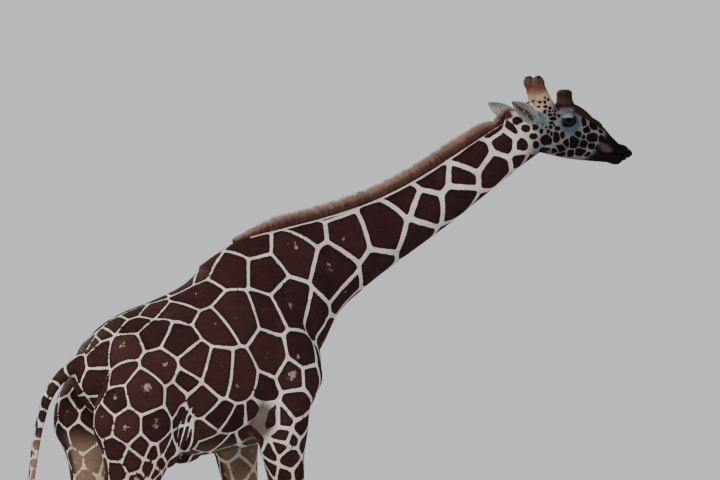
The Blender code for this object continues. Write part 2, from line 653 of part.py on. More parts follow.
def make_ear(sign):
    """A leaf-shaped cup: crescent sections that open outwards, closed in a tube at the root."""
    place = head_matrix()
    root = Vector((EAR_ROOT[0], sign * EAR_ROOT[1], EAR_ROOT[2]))
    tip = Vector((EAR_TIP[0], sign * EAR_TIP[1], EAR_TIP[2]))
    axis = np.array((tip - root).normalized())
    length = (tip - root).length
    opening = np.array([0.25, sign * 0.92, -0.10])
    opening -= axis * (opening @ axis)
    opening /= np.linalg.norm(opening)
    across = np.cross(axis, opening)
    share = np.array([-0.10, 0.05, 0.16, 0.30, 0.46, 0.62, 0.78, 0.90, 0.975, 1.0])
    width = np.array([0.40, 0.44, 0.62, 0.90, 1.00, 0.92, 0.68, 0.40, 0.16, 0.05]) * EAR_WIDTH
    curl = np.array([1.0, 0.92, 0.66, 0.46, 0.37, 0.32, 0.29, 0.27, 0.25, 0.23]) * math.radians(150)
    wall = np.array([1.3, 1.2, 1.0, 0.9, 0.8, 0.7, 0.6, 0.5, 0.35, 0.25]) * EAR_WALL
    arc = np.linspace(-1, 1, 9)
    rings = []
    for part in range(len(share)):
        radius = width[part] / math.sin(min(curl[part], math.pi / 2))
        angle = arc * curl[part]
        inner_radius = np.maximum(radius - wall[part] * np.cos(arc * math.pi / 2) ** 0.5, radius * 0.1)
        outer = [(-math.cos(a) * radius, math.sin(a) * radius) for a in angle]
        inner = [(-math.cos(a) * r, math.sin(a) * r) for a, r in zip(angle[-2:0:-1], inner_radius[-2:0:-1])]
        middle = np.array(root) + axis * length * share[part] + opening * radius * math.cos(curl[part] * 0.5)
        ring = [middle + opening * o + across * c for o, c in outer + inner]
        rings.append(ring)
    thing = rings_object("ear", np.array(rings))
    thing.data.transform(place)
    return thing


def shape_face(points):
    """Presses in the line of the mouth and the nostrils. Points are in the head's own frame."""
    along, aside, up = points.T
    line = MOUTH_UP - 2.0 * (MOUTH_END - along) ** 2
    in_mouth = smooth_step((along - MOUTH_CORNER) / 0.03)
    groove = MOUTH_DEPTH * in_mouth * np.exp(-(((up - line) / MOUTH_WIDTH) ** 2))
    middle = np.stack([np.minimum(along, MOUTH_END), 0 * along, line], axis=1)
    inward = middle - points
    inward[:, 2] *= 0.15
    inward /= np.linalg.norm(inward, axis=1, keepdims=True)
    points = points + groove[:, None] * inward
    slant = (along - NOSTRIL_ALONG) * 0.55 + (up - NOSTRIL_UP) * 0.83
    across = -(along - NOSTRIL_ALONG) * 0.83 + (up - NOSTRIL_UP) * 0.55
    hole = np.exp(-((slant / 0.007) ** 2) - (across / 0.019) ** 2) * (np.abs(aside) > 0.015)
    points[:, 1] -= np.sign(aside) * hole * 0.013
    return points


def lid_ring(sign):
    """The rim of both lids round the eye, an oval ring that follows the eyeball."""
    angle = np.linspace(0, 2 * math.pi, 20, endpoint=False)
    tube = np.linspace(0, 2 * math.pi, 6, endpoint=False)
    wide, tall, thick = 0.0320, 0.0250, 0.0062
    points, faces = [], []
    for a in angle:
        for b in tube:
            reach = 1 + 1.3 * thick * math.cos(b) / tall
            along = wide * math.cos(a) * reach
            up = tall * math.sin(a) * reach
            bend = math.sqrt(max(EYE_RADIUS**2 - (wide * math.cos(a)) ** 2 - (tall * math.sin(a)) ** 2, 0))
            out = EYE_SIDE + max(0.92 * bend, 0.010) + thick * math.sin(b)
            points.append((EYE_ALONG + along, sign * out, EYE_UP + up))
    for i in range(len(angle)):
        for j in range(len(tube)):
            a, b = (i + 1) % len(angle), (j + 1) % len(tube)
            faces.append((i * len(tube) + j, a * len(tube) + j, a * len(tube) + b, i * len(tube) + b))
    return new_object("lid", points, faces)


def make_eye(name, sign, radius, around=12):
    """An eyeball, or with a larger radius the cutter of its socket."""
    centre = head_matrix() @ Vector((EYE_ALONG, sign * EYE_SIDE, EYE_UP))
    bpy.ops.mesh.primitive_uv_sphere_add(segments=around, ring_count=8, radius=radius, location=centre)
    eye = bpy.context.object
    eye.name = name
    return eye


def neck_plane():
    """A point on the cut between neck and head, and its direction towards the head."""
    place = head_matrix()
    high, low = place @ Vector((0.015, 0, 0)), place @ Vector((0.115, 0, -0.21))
    side = place.to_3x3() @ Vector((0, 1, 0))
    return (high + low) / 2, side.cross(high - low).normalized()


def make_head():
    """The head with its ears, eyes and ossicones, as named nodes."""
    pieces = make_head_pieces()
    place = head_matrix()
    inverse = place.inverted()
    for piece in pieces:
        piece.data.transform(place)
    pieces.append(make_neck())
    head = fuse("head", pieces, HEAD_VOXEL)
    inner, outward = neck_plane()
    head = combined(head, [beyond(inner - outward * 0.05, -outward, 4.0)], "DIFFERENCE")
    zones = [((PAIRED_ALONG, 0, 0.06), 0.13), ((MIDDLE_ALONG, 0, 0.10), 0.10), ((0.68, 0, -0.06), 0.12)]
    for sign in SIDES.values():
        zones += [((0.10, sign * 0.09, -0.03), 0.12), ((0.26, sign * 0.09, -0.10), 0.17)]
        zones += [((0.45, sign * 0.07, -0.08), 0.17)]
    zones = [(tuple(place @ Vector(centre)), radius) for centre, radius in zones]
    relax(head, 8, zones, 24)
    head.data.transform(inverse)
    set_points(head.data, shape_face(points_of(head.data)))
    head.data.transform(place)
    head = thin_out(head, HEAD_TRIANGLES)
    head = combined(head, [beyond(inner, -outward, 1.0)], "DIFFERENCE")
    lids = [lid_ring(sign) for sign in SIDES.values()]
    for lid in lids:
        lid.data.transform(place)
    ears = [make_ear(sign) for sign in SIDES.values()]
    head = combined(head, lids + ears, "UNION")
    sockets = [make_eye("socket", sign, EYE_RADIUS + GAP) for sign in SIDES.values()]
    head = combined(head, sockets, "DIFFERENCE")
    cuts, anchors = head_cuts(place)
    return name_parts(combined(head, cuts, "DIFFERENCE"), anchors)


def head_cuts(place):
    """Thin plates that part the ossicones and ears, and a point near the middle of each part."""
    turn = place.to_3x3()
    anchors = {"head": place @ Vector((0.39, 0, -0.04))}
    cuts = []
    lean = Vector((-math.sin(PAIRED_LEAN), 0, math.cos(PAIRED_LEAN)))
    middle = Vector((PAIRED_ALONG, 0, PAIRED_UP)) + lean * PAIRED_CUT
    cuts.append(slab(place @ middle, turn @ lean, 0.075, 0.12))
    for side, sign in SIDES.items():
        base = middle + Vector((0, sign * (PAIRED_SIDE + 0.02), 0))
        anchors["ossicone_" + side] = place @ (base + lean * 0.055)
        root = Vector((EAR_ROOT[0], sign * EAR_ROOT[1], EAR_ROOT[2]))
        tip = Vector((EAR_TIP[0], sign * EAR_TIP[1], EAR_TIP[2]))
        axis = tip - root
        cuts.append(slab(place @ (root + axis * EAR_CUT), turn @ axis, 0.056, 0.050))
        anchors["ear_" + side] = place @ (root + axis * 0.6)
    lean = Vector((-math.sin(MIDDLE_LEAN), 0, math.cos(MIDDLE_LEAN)))
    base = Vector((MIDDLE_ALONG, 0, MIDDLE_UP)) + lean * MIDDLE_CUT
    cuts.append(slab(place @ base, turn @ lean, 0.085))
    anchors["ossicone_middle"] = place @ (base + lean * 0.035)
    return cuts, anchors


def hoof_plane(x):
    """A point on the sloping top of a hoof centred at x, and the upward direction of that slope."""
    slope = math.atan2(HOOF_FRONT - HOOF_BACK, HOOF_LENGTH)
    return Vector((x, 0, (HOOF_FRONT + HOOF_BACK) / 2)), Vector((-math.sin(slope), 0, math.cos(slope)))


def foot_place(name):
    """Where a foot stands: x and distance from the middle."""
    table = FORELEG if name.startswith("fore") else HINDLEG
    return table[-1][0] + STEP[name], table[-1][1]


def make_claw(name, x, y, sign):
    """One claw of a cloven hoof: a half oval wall that narrows upwards to a sloping coronet."""
    point, normal = hoof_plane(x)
    share = np.array([0.0, 0.08, 0.5, 1.0])
    length = np.array([0.97, 1.0, 0.90, 0.78]) * HOOF_LENGTH / 2
    width = np.array([0.97, 1.0, 0.94, 0.86]) * CLAW_WIDTH / 2
    angle = np.linspace(0, 2 * math.pi, 14, endpoint=False)
    rings = []
    for part, height in enumerate(share):
        inside = y + sign * CLAW_GAP / 2
        centre_y = inside + sign * CLAW_WIDTH / 2 * (1 - 0.05 * height)
        px = x + 0.012 - 0.018 * height + length[part] * np.sign(np.cos(angle)) * np.abs(np.cos(angle)) ** 0.8
        py = centre_y + width[part] * np.sign(np.sin(angle)) * np.abs(np.sin(angle)) ** 0.8
        py = centre_y + (py - centre_y) * (1 - 0.28 * np.clip((px - x) / HOOF_LENGTH * 2, 0, 1) ** 2)
        top = point.z - GAP - (px - point.x) * normal.x / normal.z
        rings.append(np.stack([px, py, height * top], axis=1))
    return rings_object(name, np.array(rings))


def make_body():
    """Torso, neck, legs and tail as named nodes."""
    pieces = [make_trunk(), make_neck(), *make_bumps()]
    for side, sign in SIDES.items():
        pieces.append(make_leg("foreleg_" + side, FORELEG, sign))
        pieces.append(make_leg("hindleg_" + side, HINDLEG, sign))
    body = fuse("body", pieces, BODY_VOXEL)
    zones = [((0.05, 0, 2.05), 0.35), ((-0.70, 0, 2.1), 0.45), ((0.30, 0, 2.75), 0.50), ((-0.85, 0, 2.5), 0.50)]
    zones += [((0.1, 0, 3.0), 0.35), ((0.2, 0, 2.45), 0.50), ((-0.5, 0, 2.45), 0.55)]
    relax(body, 10, zones, 36)
    body = thin_out(body, BODY_TRIANGLES)
    inner, outward = neck_plane()
    body = combined(body, [beyond(inner, outward, 3.0)], "DIFFERENCE")
    body = combined(body, make_mane() + [make_tail_stem()] + make_tuft(), "UNION")
    cuts, anchors = body_cuts(inner, outward)
    return name_parts(combined(body, cuts, "DIFFERENCE"), anchors)


def body_cuts(inner, outward):
    """Thin plates that part the neck, legs, hooves and tail, and a point near the middle of each part."""
    cuts = [beyond(inner, outward, 1.0)]
    anchors = {"torso": (-0.35, 0, 2.45)}
    low, high = (on_neck(*spot) for spot in SHOULDER_CUT)
    cuts.append(slab(Vector((low + high) / 2), Vector((high - low)[[2, 1, 0]] * (1, 1, -1)), 0.62, 0.62))
    anchors.update({name: on_neck(*spot) for name, spot in NECK_PARTS.items()})
    crest_at, crest, throat_at, throat, _ = eased(NECK, 200).T
    for distance in NECK_CUTS:
        row = np.argmin(np.abs(crest_at + throat_at - 2 * distance))
        top, bottom = on_neck(crest_at[row], crest[row]), on_neck(throat_at[row], throat[row])
        heading = neck_plan(distance)[2]
        side = np.array([-math.sin(heading), math.cos(heading), 0])
        cuts.append(slab(Vector((top + bottom) / 2), Vector(np.cross(side, top - bottom)), 0.36))
    for side, sign in SIDES.items():
        for leg, (x, high, tilt, low) in LEG_CUTS.items():
            name = f"{leg}_{side}"
            cuts.append(slab((x, sign * 0.225, high), (tilt, 0, 1), 0.36, 0.205))
            foot, aside = foot_place(name)
            cuts.append(slab((foot - 0.04, sign * 0.19, low), (0, 0, 1), 0.16))
            cuts.append(beyond_below(foot, sign * aside))
            anchors[name + "_upper"] = (x, sign * 0.2, 1.4)
            anchors[name + "_cannon"] = (foot - 0.02, sign * aside, 0.52)
    cuts.append(slab(TAIL_CUT, TAIL_CUT_WAY, 0.065))
    cuts.append(slab((-1.468, 0.112, TUFT_TOP + 0.012), (0, 0, 1), 0.12))
    anchors["tail_stem"] = (-1.40, 0.06, 2.0)
    anchors["tail_tuft"] = (-1.47, 0.12, 1.25)
    return cuts, anchors


def beyond_below(x, y):
    """A block that removes the leg's end under the top of its hoof."""
    point, normal = hoof_plane(x)
    point.y = y
    return slab(point, -normal, 0.17, None, 0.25, 0.125 - GAP / 2)


def finish_node(thing):
    """Gives a node the finish that its name calls for."""
    start = next(start for start in FINISHES if thing.name.startswith(start))
    name, colour, roughness = FINISHES[start]
    material = bpy.data.materials.new(f"{name}_{thing.name}")
    material.use_nodes = True
    shader = material.node_tree.nodes["Principled BSDF"]
    shader.inputs["Base Color"].default_value = (*colour, 1)
    shader.inputs["Roughness"].default_value = roughness
    thing.data.materials.clear()
    thing.data.materials.append(material)


def centre_on_floor(things):
    """Moves all so that the middle of the base of their common box is the origin."""
    corners = np.concatenate([points_of(thing.data) + np.array(thing.location) for thing in things])
    low, high = corners.min(axis=0), corners.max(axis=0)
    shift = Vector(((low[0] + high[0]) / 2, (low[1] + high[1]) / 2, low[2]))
    for thing in things:
        thing.data.transform(Matrix.Translation(Vector(thing.location) - shift))
        thing.location = (0, 0, 0)
    return shift


def main():
    clear_scene()
    nodes = make_body()
    nodes.update(make_head())
    for side, sign in SIDES.items():
        nodes["eye_" + side] = make_eye("eye_" + side, sign, EYE_RADIUS)
        for leg in ("foreleg", "hindleg"):
            x, y = foot_place(f"{leg}_{side}")
            for place, way in (("inner", -1), ("outer", 1)):
                name = f"hoof_{leg}_{side}_{place}"
                nodes[name] = make_claw(name, x, sign * y, sign * way)
    home = bpy.data.collections.new(OBJECT_NAME)
    bpy.context.scene.collection.children.link(home)
    for name, thing in nodes.items():
        thing.name = name
        finish_node(thing)
        for other in list(thing.users_collection):
            other.objects.unlink(thing)
        home.objects.link(thing)
    shift = centre_on_floor(list(nodes.values()))
    print("withers are at", [round(-value, 5) for value in shift])
    return nodes


if __name__ == "__main__":
    main()
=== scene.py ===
"""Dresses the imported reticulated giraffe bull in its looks.

One skin with its patches and folds covers all the flesh. Ears, ossicones, eyes, lids, lashes, hooves, mane,
tail hair and the short coat are pieces of their own. All stand on a plain floor in soft studio light.

Lengths are metres. Shapes are worked out in the animal's own frame, with +X towards the head, +Y its left,
+Z up and the withers above X = 0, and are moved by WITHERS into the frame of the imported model.
"""

import math

import bmesh
import bpy
import numpy as np
from mathutils import Matrix, Vector


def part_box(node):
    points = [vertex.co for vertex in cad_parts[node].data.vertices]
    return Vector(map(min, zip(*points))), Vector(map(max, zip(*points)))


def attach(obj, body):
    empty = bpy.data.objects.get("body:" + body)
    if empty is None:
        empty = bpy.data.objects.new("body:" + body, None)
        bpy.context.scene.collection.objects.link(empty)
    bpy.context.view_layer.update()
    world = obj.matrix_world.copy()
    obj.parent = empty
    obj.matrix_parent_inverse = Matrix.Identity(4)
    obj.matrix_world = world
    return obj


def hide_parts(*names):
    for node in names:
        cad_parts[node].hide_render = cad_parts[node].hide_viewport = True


bl_info = {
    "name": "Reticulated Giraffe",
    "version": (1, 0, 0),
    "blender": (4, 5, 0),
    "location": "3D View > Sidebar > Giraffe",
    "description": "Dresses a packed giraffe in its skin, patches, hair, eyes and hooves",
    "category": "Object",
}

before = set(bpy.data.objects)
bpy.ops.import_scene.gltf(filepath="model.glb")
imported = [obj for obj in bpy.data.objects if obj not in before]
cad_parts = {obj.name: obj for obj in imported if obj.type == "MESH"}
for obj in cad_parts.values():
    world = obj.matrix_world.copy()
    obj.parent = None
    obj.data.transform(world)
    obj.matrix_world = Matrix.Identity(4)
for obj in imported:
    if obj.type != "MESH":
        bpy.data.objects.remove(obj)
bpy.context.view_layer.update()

# The side's sign along Y, and the seed of each part's random numbers.
SIDES = {"right": -1, "left": 1}
SEEDS = {"markings": 21, "ears": 31, "ossicones": 37, "eyes": 41, "mane": 5, "tail": 11, "coat": 17}

# Where the body starts, and the length and height that the skin's map spreads.
BODY_START, BODY_LENGTH, BODY_HEIGHT = -1.6, 4.4, 4.3

# The neck's heading turns to the animal's right by this much between these two distances.
NECK_BEND = math.radians(12)
BEND_START, BEND_END = 0.2, 1.9

# The head's own frame: its origin is the poll, its axis drops by HEAD_PITCH.
POLL_DISTANCE, POLL_HEIGHT = 1.96, 3.954
HEAD_PITCH = math.radians(17.5)

# Trunk: x, top, bottom, half width, height of the widest place, sharpness of the back.
TRUNK = (
    (-1.215, 2.42, 2.28, 0.04, 2.34, 2.0),
    (-1.14, 2.52, 2.2, 0.11, 2.36, 2.0),
    (-1.02, 2.645, 2.1, 0.205, 2.38, 1.9),
    (-0.85, 2.735, 2.02, 0.3, 2.4, 1.8),
    (-0.62, 2.81, 1.93, 0.355, 2.36, 1.8),
    (-0.38, 2.91, 1.885, 0.372, 2.32, 1.8),
    (-0.15, 3.085, 1.905, 0.352, 2.32, 1.7),
    (0.03, 3.175, 1.93, 0.31, 2.32, 1.6),
    (0.2, 3.11, 1.97, 0.265, 2.32, 1.7),
    (0.38, 2.9, 2.07, 0.21, 2.36, 1.9),
    (0.5, 2.65, 2.2, 0.14, 2.4, 2.0),
    (0.565, 2.52, 2.33, 0.05, 2.42, 2.0),
)

# Neck: distance and height of the crest, the same of the throat, half width.
NECK = (
    (-0.28, 3.02, 0.25, 2.35, 0.2),
    (0.02, 3.18, 0.56, 2.5, 0.185),
    (0.3, 3.24, 0.7, 2.72, 0.152),
    (0.6, 3.305, 0.9, 2.885, 0.128),
    (0.95, 3.405, 1.18, 3.07, 0.11),
    (1.28, 3.55, 1.48, 3.265, 0.098),
    (1.6, 3.735, 1.77, 3.475, 0.089),
    (1.86, 3.884, 2.02, 3.655, 0.083),
    (2.02, 3.955, 2.14, 3.73, 0.074),
)

# Legs: x, distance from the middle, z, reach forward, reach back, half width.
FORELEG = (
    (0.06, 0.095, 3.02, 0.1, 0.1, 0.05),
    (0.12, 0.15, 2.75, 0.16, 0.16, 0.085),
    (0.2, 0.2, 2.45, 0.23, 0.2, 0.105),
    (0.19, 0.215, 2.33, 0.24, 0.215, 0.11),
    (0.15, 0.22, 2.2, 0.185, 0.21, 0.112),
    (0.135, 0.215, 2.02, 0.165, 0.185, 0.108),
    (0.15, 0.2, 1.88, 0.13, 0.15, 0.097),
    (0.165, 0.195, 1.75, 0.115, 0.12, 0.088),
    (0.185, 0.19, 1.5, 0.108, 0.105, 0.077),
    (0.19, 0.185, 1.25, 0.084, 0.082, 0.067),
    (0.2, 0.18, 1.08, 0.096, 0.088, 0.08),
    (0.195, 0.18, 0.97, 0.076, 0.078, 0.067),
    (0.185, 0.178, 0.85, 0.058, 0.06, 0.051),
    (0.18, 0.176, 0.55, 0.051, 0.055, 0.045),
    (0.178, 0.175, 0.38, 0.056, 0.063, 0.051),
    (0.175, 0.175, 0.3, 0.07, 0.08, 0.064),
    (0.205, 0.175, 0.21, 0.06, 0.062, 0.058),
    (0.235, 0.175, 0.13, 0.078, 0.082, 0.074),
    (0.245, 0.175, 0.05, 0.08, 0.085, 0.076),
)
HINDLEG = (
    (-0.76, 0.12, 2.62, 0.16, 0.16, 0.08),
    (-0.83, 0.19, 2.42, 0.26, 0.23, 0.125),
    (-0.905, 0.22, 2.2, 0.3, 0.285, 0.148),
    (-0.915, 0.222, 2.02, 0.285, 0.288, 0.142),
    (-0.885, 0.22, 1.9, 0.245, 0.255, 0.125),
    (-0.91, 0.215, 1.77, 0.2, 0.205, 0.11),
    (-0.985, 0.205, 1.55, 0.14, 0.15, 0.088),
    (-1.07, 0.198, 1.32, 0.095, 0.1, 0.067),
    (-1.13, 0.195, 1.15, 0.085, 0.105, 0.063),
    (-1.135, 0.195, 1.03, 0.082, 0.092, 0.067),
    (-1.125, 0.193, 0.9, 0.064, 0.068, 0.055),
    (-1.115, 0.19, 0.7, 0.052, 0.056, 0.046),
    (-1.105, 0.19, 0.45, 0.051, 0.055, 0.045),
    (-1.1, 0.19, 0.37, 0.057, 0.063, 0.051),
    (-1.1, 0.19, 0.295, 0.068, 0.078, 0.062),
    (-1.07, 0.19, 0.205, 0.058, 0.06, 0.057),
    (-1.04, 0.19, 0.13, 0.075, 0.08, 0.072),
    (-1.03, 0.19, 0.05, 0.078, 0.083, 0.074),
)
LEG_TABLES = {"foreleg": FORELEG, "hindleg": HINDLEG}

# Heights of the legs' tops, of knees and of hocks, and how far each foot stands ahead of its table.
LEG_TOP = 1.95
JOINT_HEIGHTS = {"foreleg": 1.02, "hindleg": 1.1}
STEP = {"foreleg_right": 0.035, "foreleg_left": -0.025, "hindleg_right": -0.035, "hindleg_left": 0.04}

# Head, in its own frame: along, top, bottom, half width, height of the widest place.
HEAD = (
    (-0.09, -0.03, -0.2, 0.078, -0.11),
    (0.0, 0.002, -0.21, 0.084, -0.08),
    (0.1, 0.05, -0.205, 0.094, -0.03),
    (0.2, 0.092, -0.196, 0.098, 0.0),
    (0.28, 0.112, -0.188, 0.097, 0.01),
    (0.34, 0.116, -0.182, 0.092, 0.01),
    (0.41, 0.108, -0.172, 0.079, 0.0),
    (0.5, 0.095, -0.153, 0.065, -0.01),
    (0.56, 0.08, -0.138, 0.057, -0.02),
    (0.61, 0.052, -0.126, 0.054, -0.03),
    (0.66, 0.027, -0.114, 0.053, -0.03),
    (0.71, 0.009, -0.1, 0.053, -0.03),
    (0.755, 0.006, -0.068, 0.042, -0.028),
    (0.785, -0.006, -0.036, 0.018, -0.021),
)

# Eye and orbit: place in the head's own frame, and size.
EYE_ALONG, EYE_SIDE, EYE_UP, EYE_RADIUS = 0.284, 0.096, 0.04, 0.03
ORBIT_SIDE, ORBIT_SIZE = 0.074, (0.066, 0.041, 0.048)

# Rings of the lids: share of the way from the opening to the orbit's rim, and lift above the ball.
LID_RINGS = (
    (-0.1, -0.0035), (-0.03, 0.0005), (0.02, 0.0022), (0.1, 0.0034), (0.2, 0.0036), (0.32, 0.0022),
    (0.46, 0.0034), (0.58, 0.002), (0.7, 0.0026), (0.85, 0.0006), (1.0, -0.0045),
)

# Mouth, nostrils and the slope of the brow.
MOUTH_CORNER, MOUTH_END, MOUTH_UP = 0.6, 0.72, -0.049
NOSTRIL_ALONG, NOSTRIL_UP = 0.715, -0.006
BROW_DROP = math.radians(20)

# Ossicones: base (along, aside, up) and lean back, length, radii from base to knob, and how far up them the
# head's skin reaches. Their own skin starts HORN_LAP below that.
PAIRED_LEAN, MIDDLE_LEAN, OSSICONE_SPREAD, HORN_LAP = math.radians(37), math.radians(20), 0.07, 0.03
MIDDLE_RADII = (0.078, 0.076, 0.068, 0.056, 0.046, 0.039, 0.036, 0.022)
PAIRED_RADII = (0.058, 0.059, 0.057, 0.051, 0.042, 0.034, 0.028, 0.028, 0.019)
OSSICONES = {
    "middle": ((0.305, 0, 0.06, MIDDLE_LEAN), 0.165, MIDDLE_RADII, 0.1),
    "right": ((0.19, -0.044, 0.0, PAIRED_LEAN), 0.278, PAIRED_RADII, 0.165),
    "left": ((0.19, 0.044, 0.0, PAIRED_LEAN), 0.278, PAIRED_RADII, 0.165),
}

# Where the creases between fused parts melt: centre and radius, on the body, and in the head's own frame.
BODY_ZONES = (
    ((0.05, 0, 2.05), 0.35), ((-0.7, 0, 2.1), 0.45), ((0.3, 0, 2.75), 0.5), ((-0.85, 0, 2.5), 0.5),
    ((0.1, 0, 3.0), 0.35), ((0.2, 0, 2.45), 0.5), ((-0.5, 0, 2.45), 0.55),
)
FACE_ZONES = (
    ((0.19, 0, 0.06), 0.13), ((0.305, 0, 0.1), 0.1), ((0.68, 0, -0.06), 0.12),
    ((0.1, 0.09, -0.03), 0.12), ((0.26, 0.09, -0.1), 0.17), ((0.45, 0.07, -0.08), 0.17),
)

# Ear: root, tip and half width. Its table has the share of the length, two zeros for the easing, the width
# against EAR_WIDTH, the curl against EAR_CURL, and the wall in millimetres.
EAR_ROOT, EAR_TIP, EAR_WIDTH = (0.1, 0.09, -0.04), (-0.137, 0.165, 0.01), 0.05
EAR_CURL = math.radians(150)
EAR_TABLE = (
    (-0.1, 0, 0, 0.4, 1.0, 9),
    (0.05, 0, 0, 0.44, 0.92, 8),
    (0.16, 0, 0, 0.62, 0.66, 7),
    (0.3, 0, 0, 0.9, 0.46, 6),
    (0.46, 0, 0, 1.0, 0.37, 5),
    (0.62, 0, 0, 0.92, 0.32, 4),
    (0.78, 0, 0, 0.68, 0.29, 3.5),
    (0.9, 0, 0, 0.4, 0.27, 3),
    (0.975, 0, 0, 0.16, 0.25, 2),
    (1.0, 0, 0, 0.05, 0.23, 1.5),
)

# Mane: where it starts and ends along the crest, half its width, and the steps in which the crest is read.
MANE_START, MANE_END, MANE_SIDE, CREST_STEP = -0.04, 1.93, 0.017, 0.02

# How sharp patches' corners are, the waves of the flank's folds, the patchless zone behind the elbow, whose
# lines are painted grey as the shade in its crease, and the place of the pale hair round the ear in the
# head's own frame.
CORNER_SHARPNESS, FLANK_STEP = 200.0, 0.0062
ELBOW_MIDDLE, ELBOW_SIZE = (-0.045, 0, 2.1), (0.105, 0.5, 0.155)
EAR_MIDDLE = (0.115, 0.085, -0.03)

# Sides of a spot on the face, how sharp its corners are, and how far apart spots under the jaw stand.
SPOT_SIDES, SPOT_CORNERS, SPOT_GAP = 6, 8.0, 0.024

QUICK_VOXEL, LOSS_LEVELS, MARKING_STEP, CHUNK = 0.012, 50, 4, 8192

# Rounds that melt the creases of the body and of the face, and the grid that they are meant for.
BODY_ROUNDS, FACE_ROUNDS, FULL_VOXEL = 110, 60, 0.005

# How far behind its nearest point the skin still counts as the layer that the photograph shows.
LAYER_DEPTH = 0.1

# The tail's middle line, with its radius, and where its long hair begins.
TAIL = (
    (-1.05, 0.0, 2.5, 0.05),
    (-1.166, 0.0, 2.445, 0.046),
    (-1.245, 0.008, 2.4, 0.04),
    (-1.31, 0.02, 2.345, 0.036),
    (-1.385, 0.04, 2.235, 0.031),
    (-1.425, 0.065, 2.08, 0.027),
    (-1.45, 0.09, 1.88, 0.024),
    (-1.465, 0.11, 1.68, 0.022),
    (-1.47, 0.12, 1.48, 0.021),
    (-1.47, 0.12, 1.26, 0.014),
)
TUFT_TOP, TUFT_BOTTOM = 1.6, 1.28

# Hooves: length, width of a claw, height in front and behind, gap between the claws, and the shares of the
# height at which a claw has rings.
HOOF_LENGTH, CLAW_WIDTH, HOOF_FRONT, HOOF_BACK, CLAW_GAP = 0.225, 0.088, 0.128, 0.082, 0.008
CLAW_RINGS = (0, 0.012, 0.04, 0.1, 0.18, 0.27, 0.36, 0.45, 0.54, 0.63, 0.72, 0.81, 0.9, 0.97, 1.0)

# Tufts of an ear and of an ossicone, and lashes on each lid.
EAR_TUFTS, HORN_TUFTS, UPPER_LASHES, LOWER_LASHES = 700, 1900, 110, 40

# Steps from end to end of a muscle and an eyeball, and round a muscle, an eyeball, the lids and a claw.
BLOB_RINGS, BALL_RINGS = 18, 40
BLOB_ROUND, BALL_ROUND, LID_ROUND, CLAW_ROUND = 28, 56, 96, 56

# The pupil, the lashes from root to tip, and the sky as it lights the animal and as the camera sees it.
PUPIL_COLOUR = (0.002, 0.002, 0.003)
LASH_COLOURS = (0.01, 0.008, 0.008), (0.008, 0.006, 0.006), (0.012, 0.009, 0.008)
SKY_LIGHT, SKY_SEEN = (0.38, 0.4, 0.44), (0.7, 0.71, 0.72)

# Lamps: place ahead of and to the left of the animal's middle and above the floor, width of the disc, watts
# and colour. They aim at LAMP_MIDDLE above the floor.
LAMP_MIDDLE = 2.6
LAMPS = {
    "key": ((-8.0, -6.0, 8.0), 5.0, 1700, (1.0, 0.97, 0.93)),
    "fill": ((5.0, -9.0, 3.0), 6.0, 260, (0.92, 0.96, 1.0)),
    "rim": ((-3.0, 8.0, 7.5), 3.0, 1100, (1.0, 0.92, 0.82)),
}

# The photograph's view: its size, the lowest row where patches are listed, pixels a metre, its turn round the
# animal, the pixel of the point VIEW_HEIGHT above the origin, and the camera's distance and height.
PICTURE_WIDTH, PICTURE_HEIGHT = 720.0, 480.0
LOWEST_ROW = 474
PIXELS_A_METRE = 168.0
VIEW_TURN = math.radians(37)
VIEW_PIXEL, VIEW_HEIGHT = (240.0, 243.0), 3.15
CAMERA_DISTANCE, CAMERA_HEIGHT = 120.0, 1.95

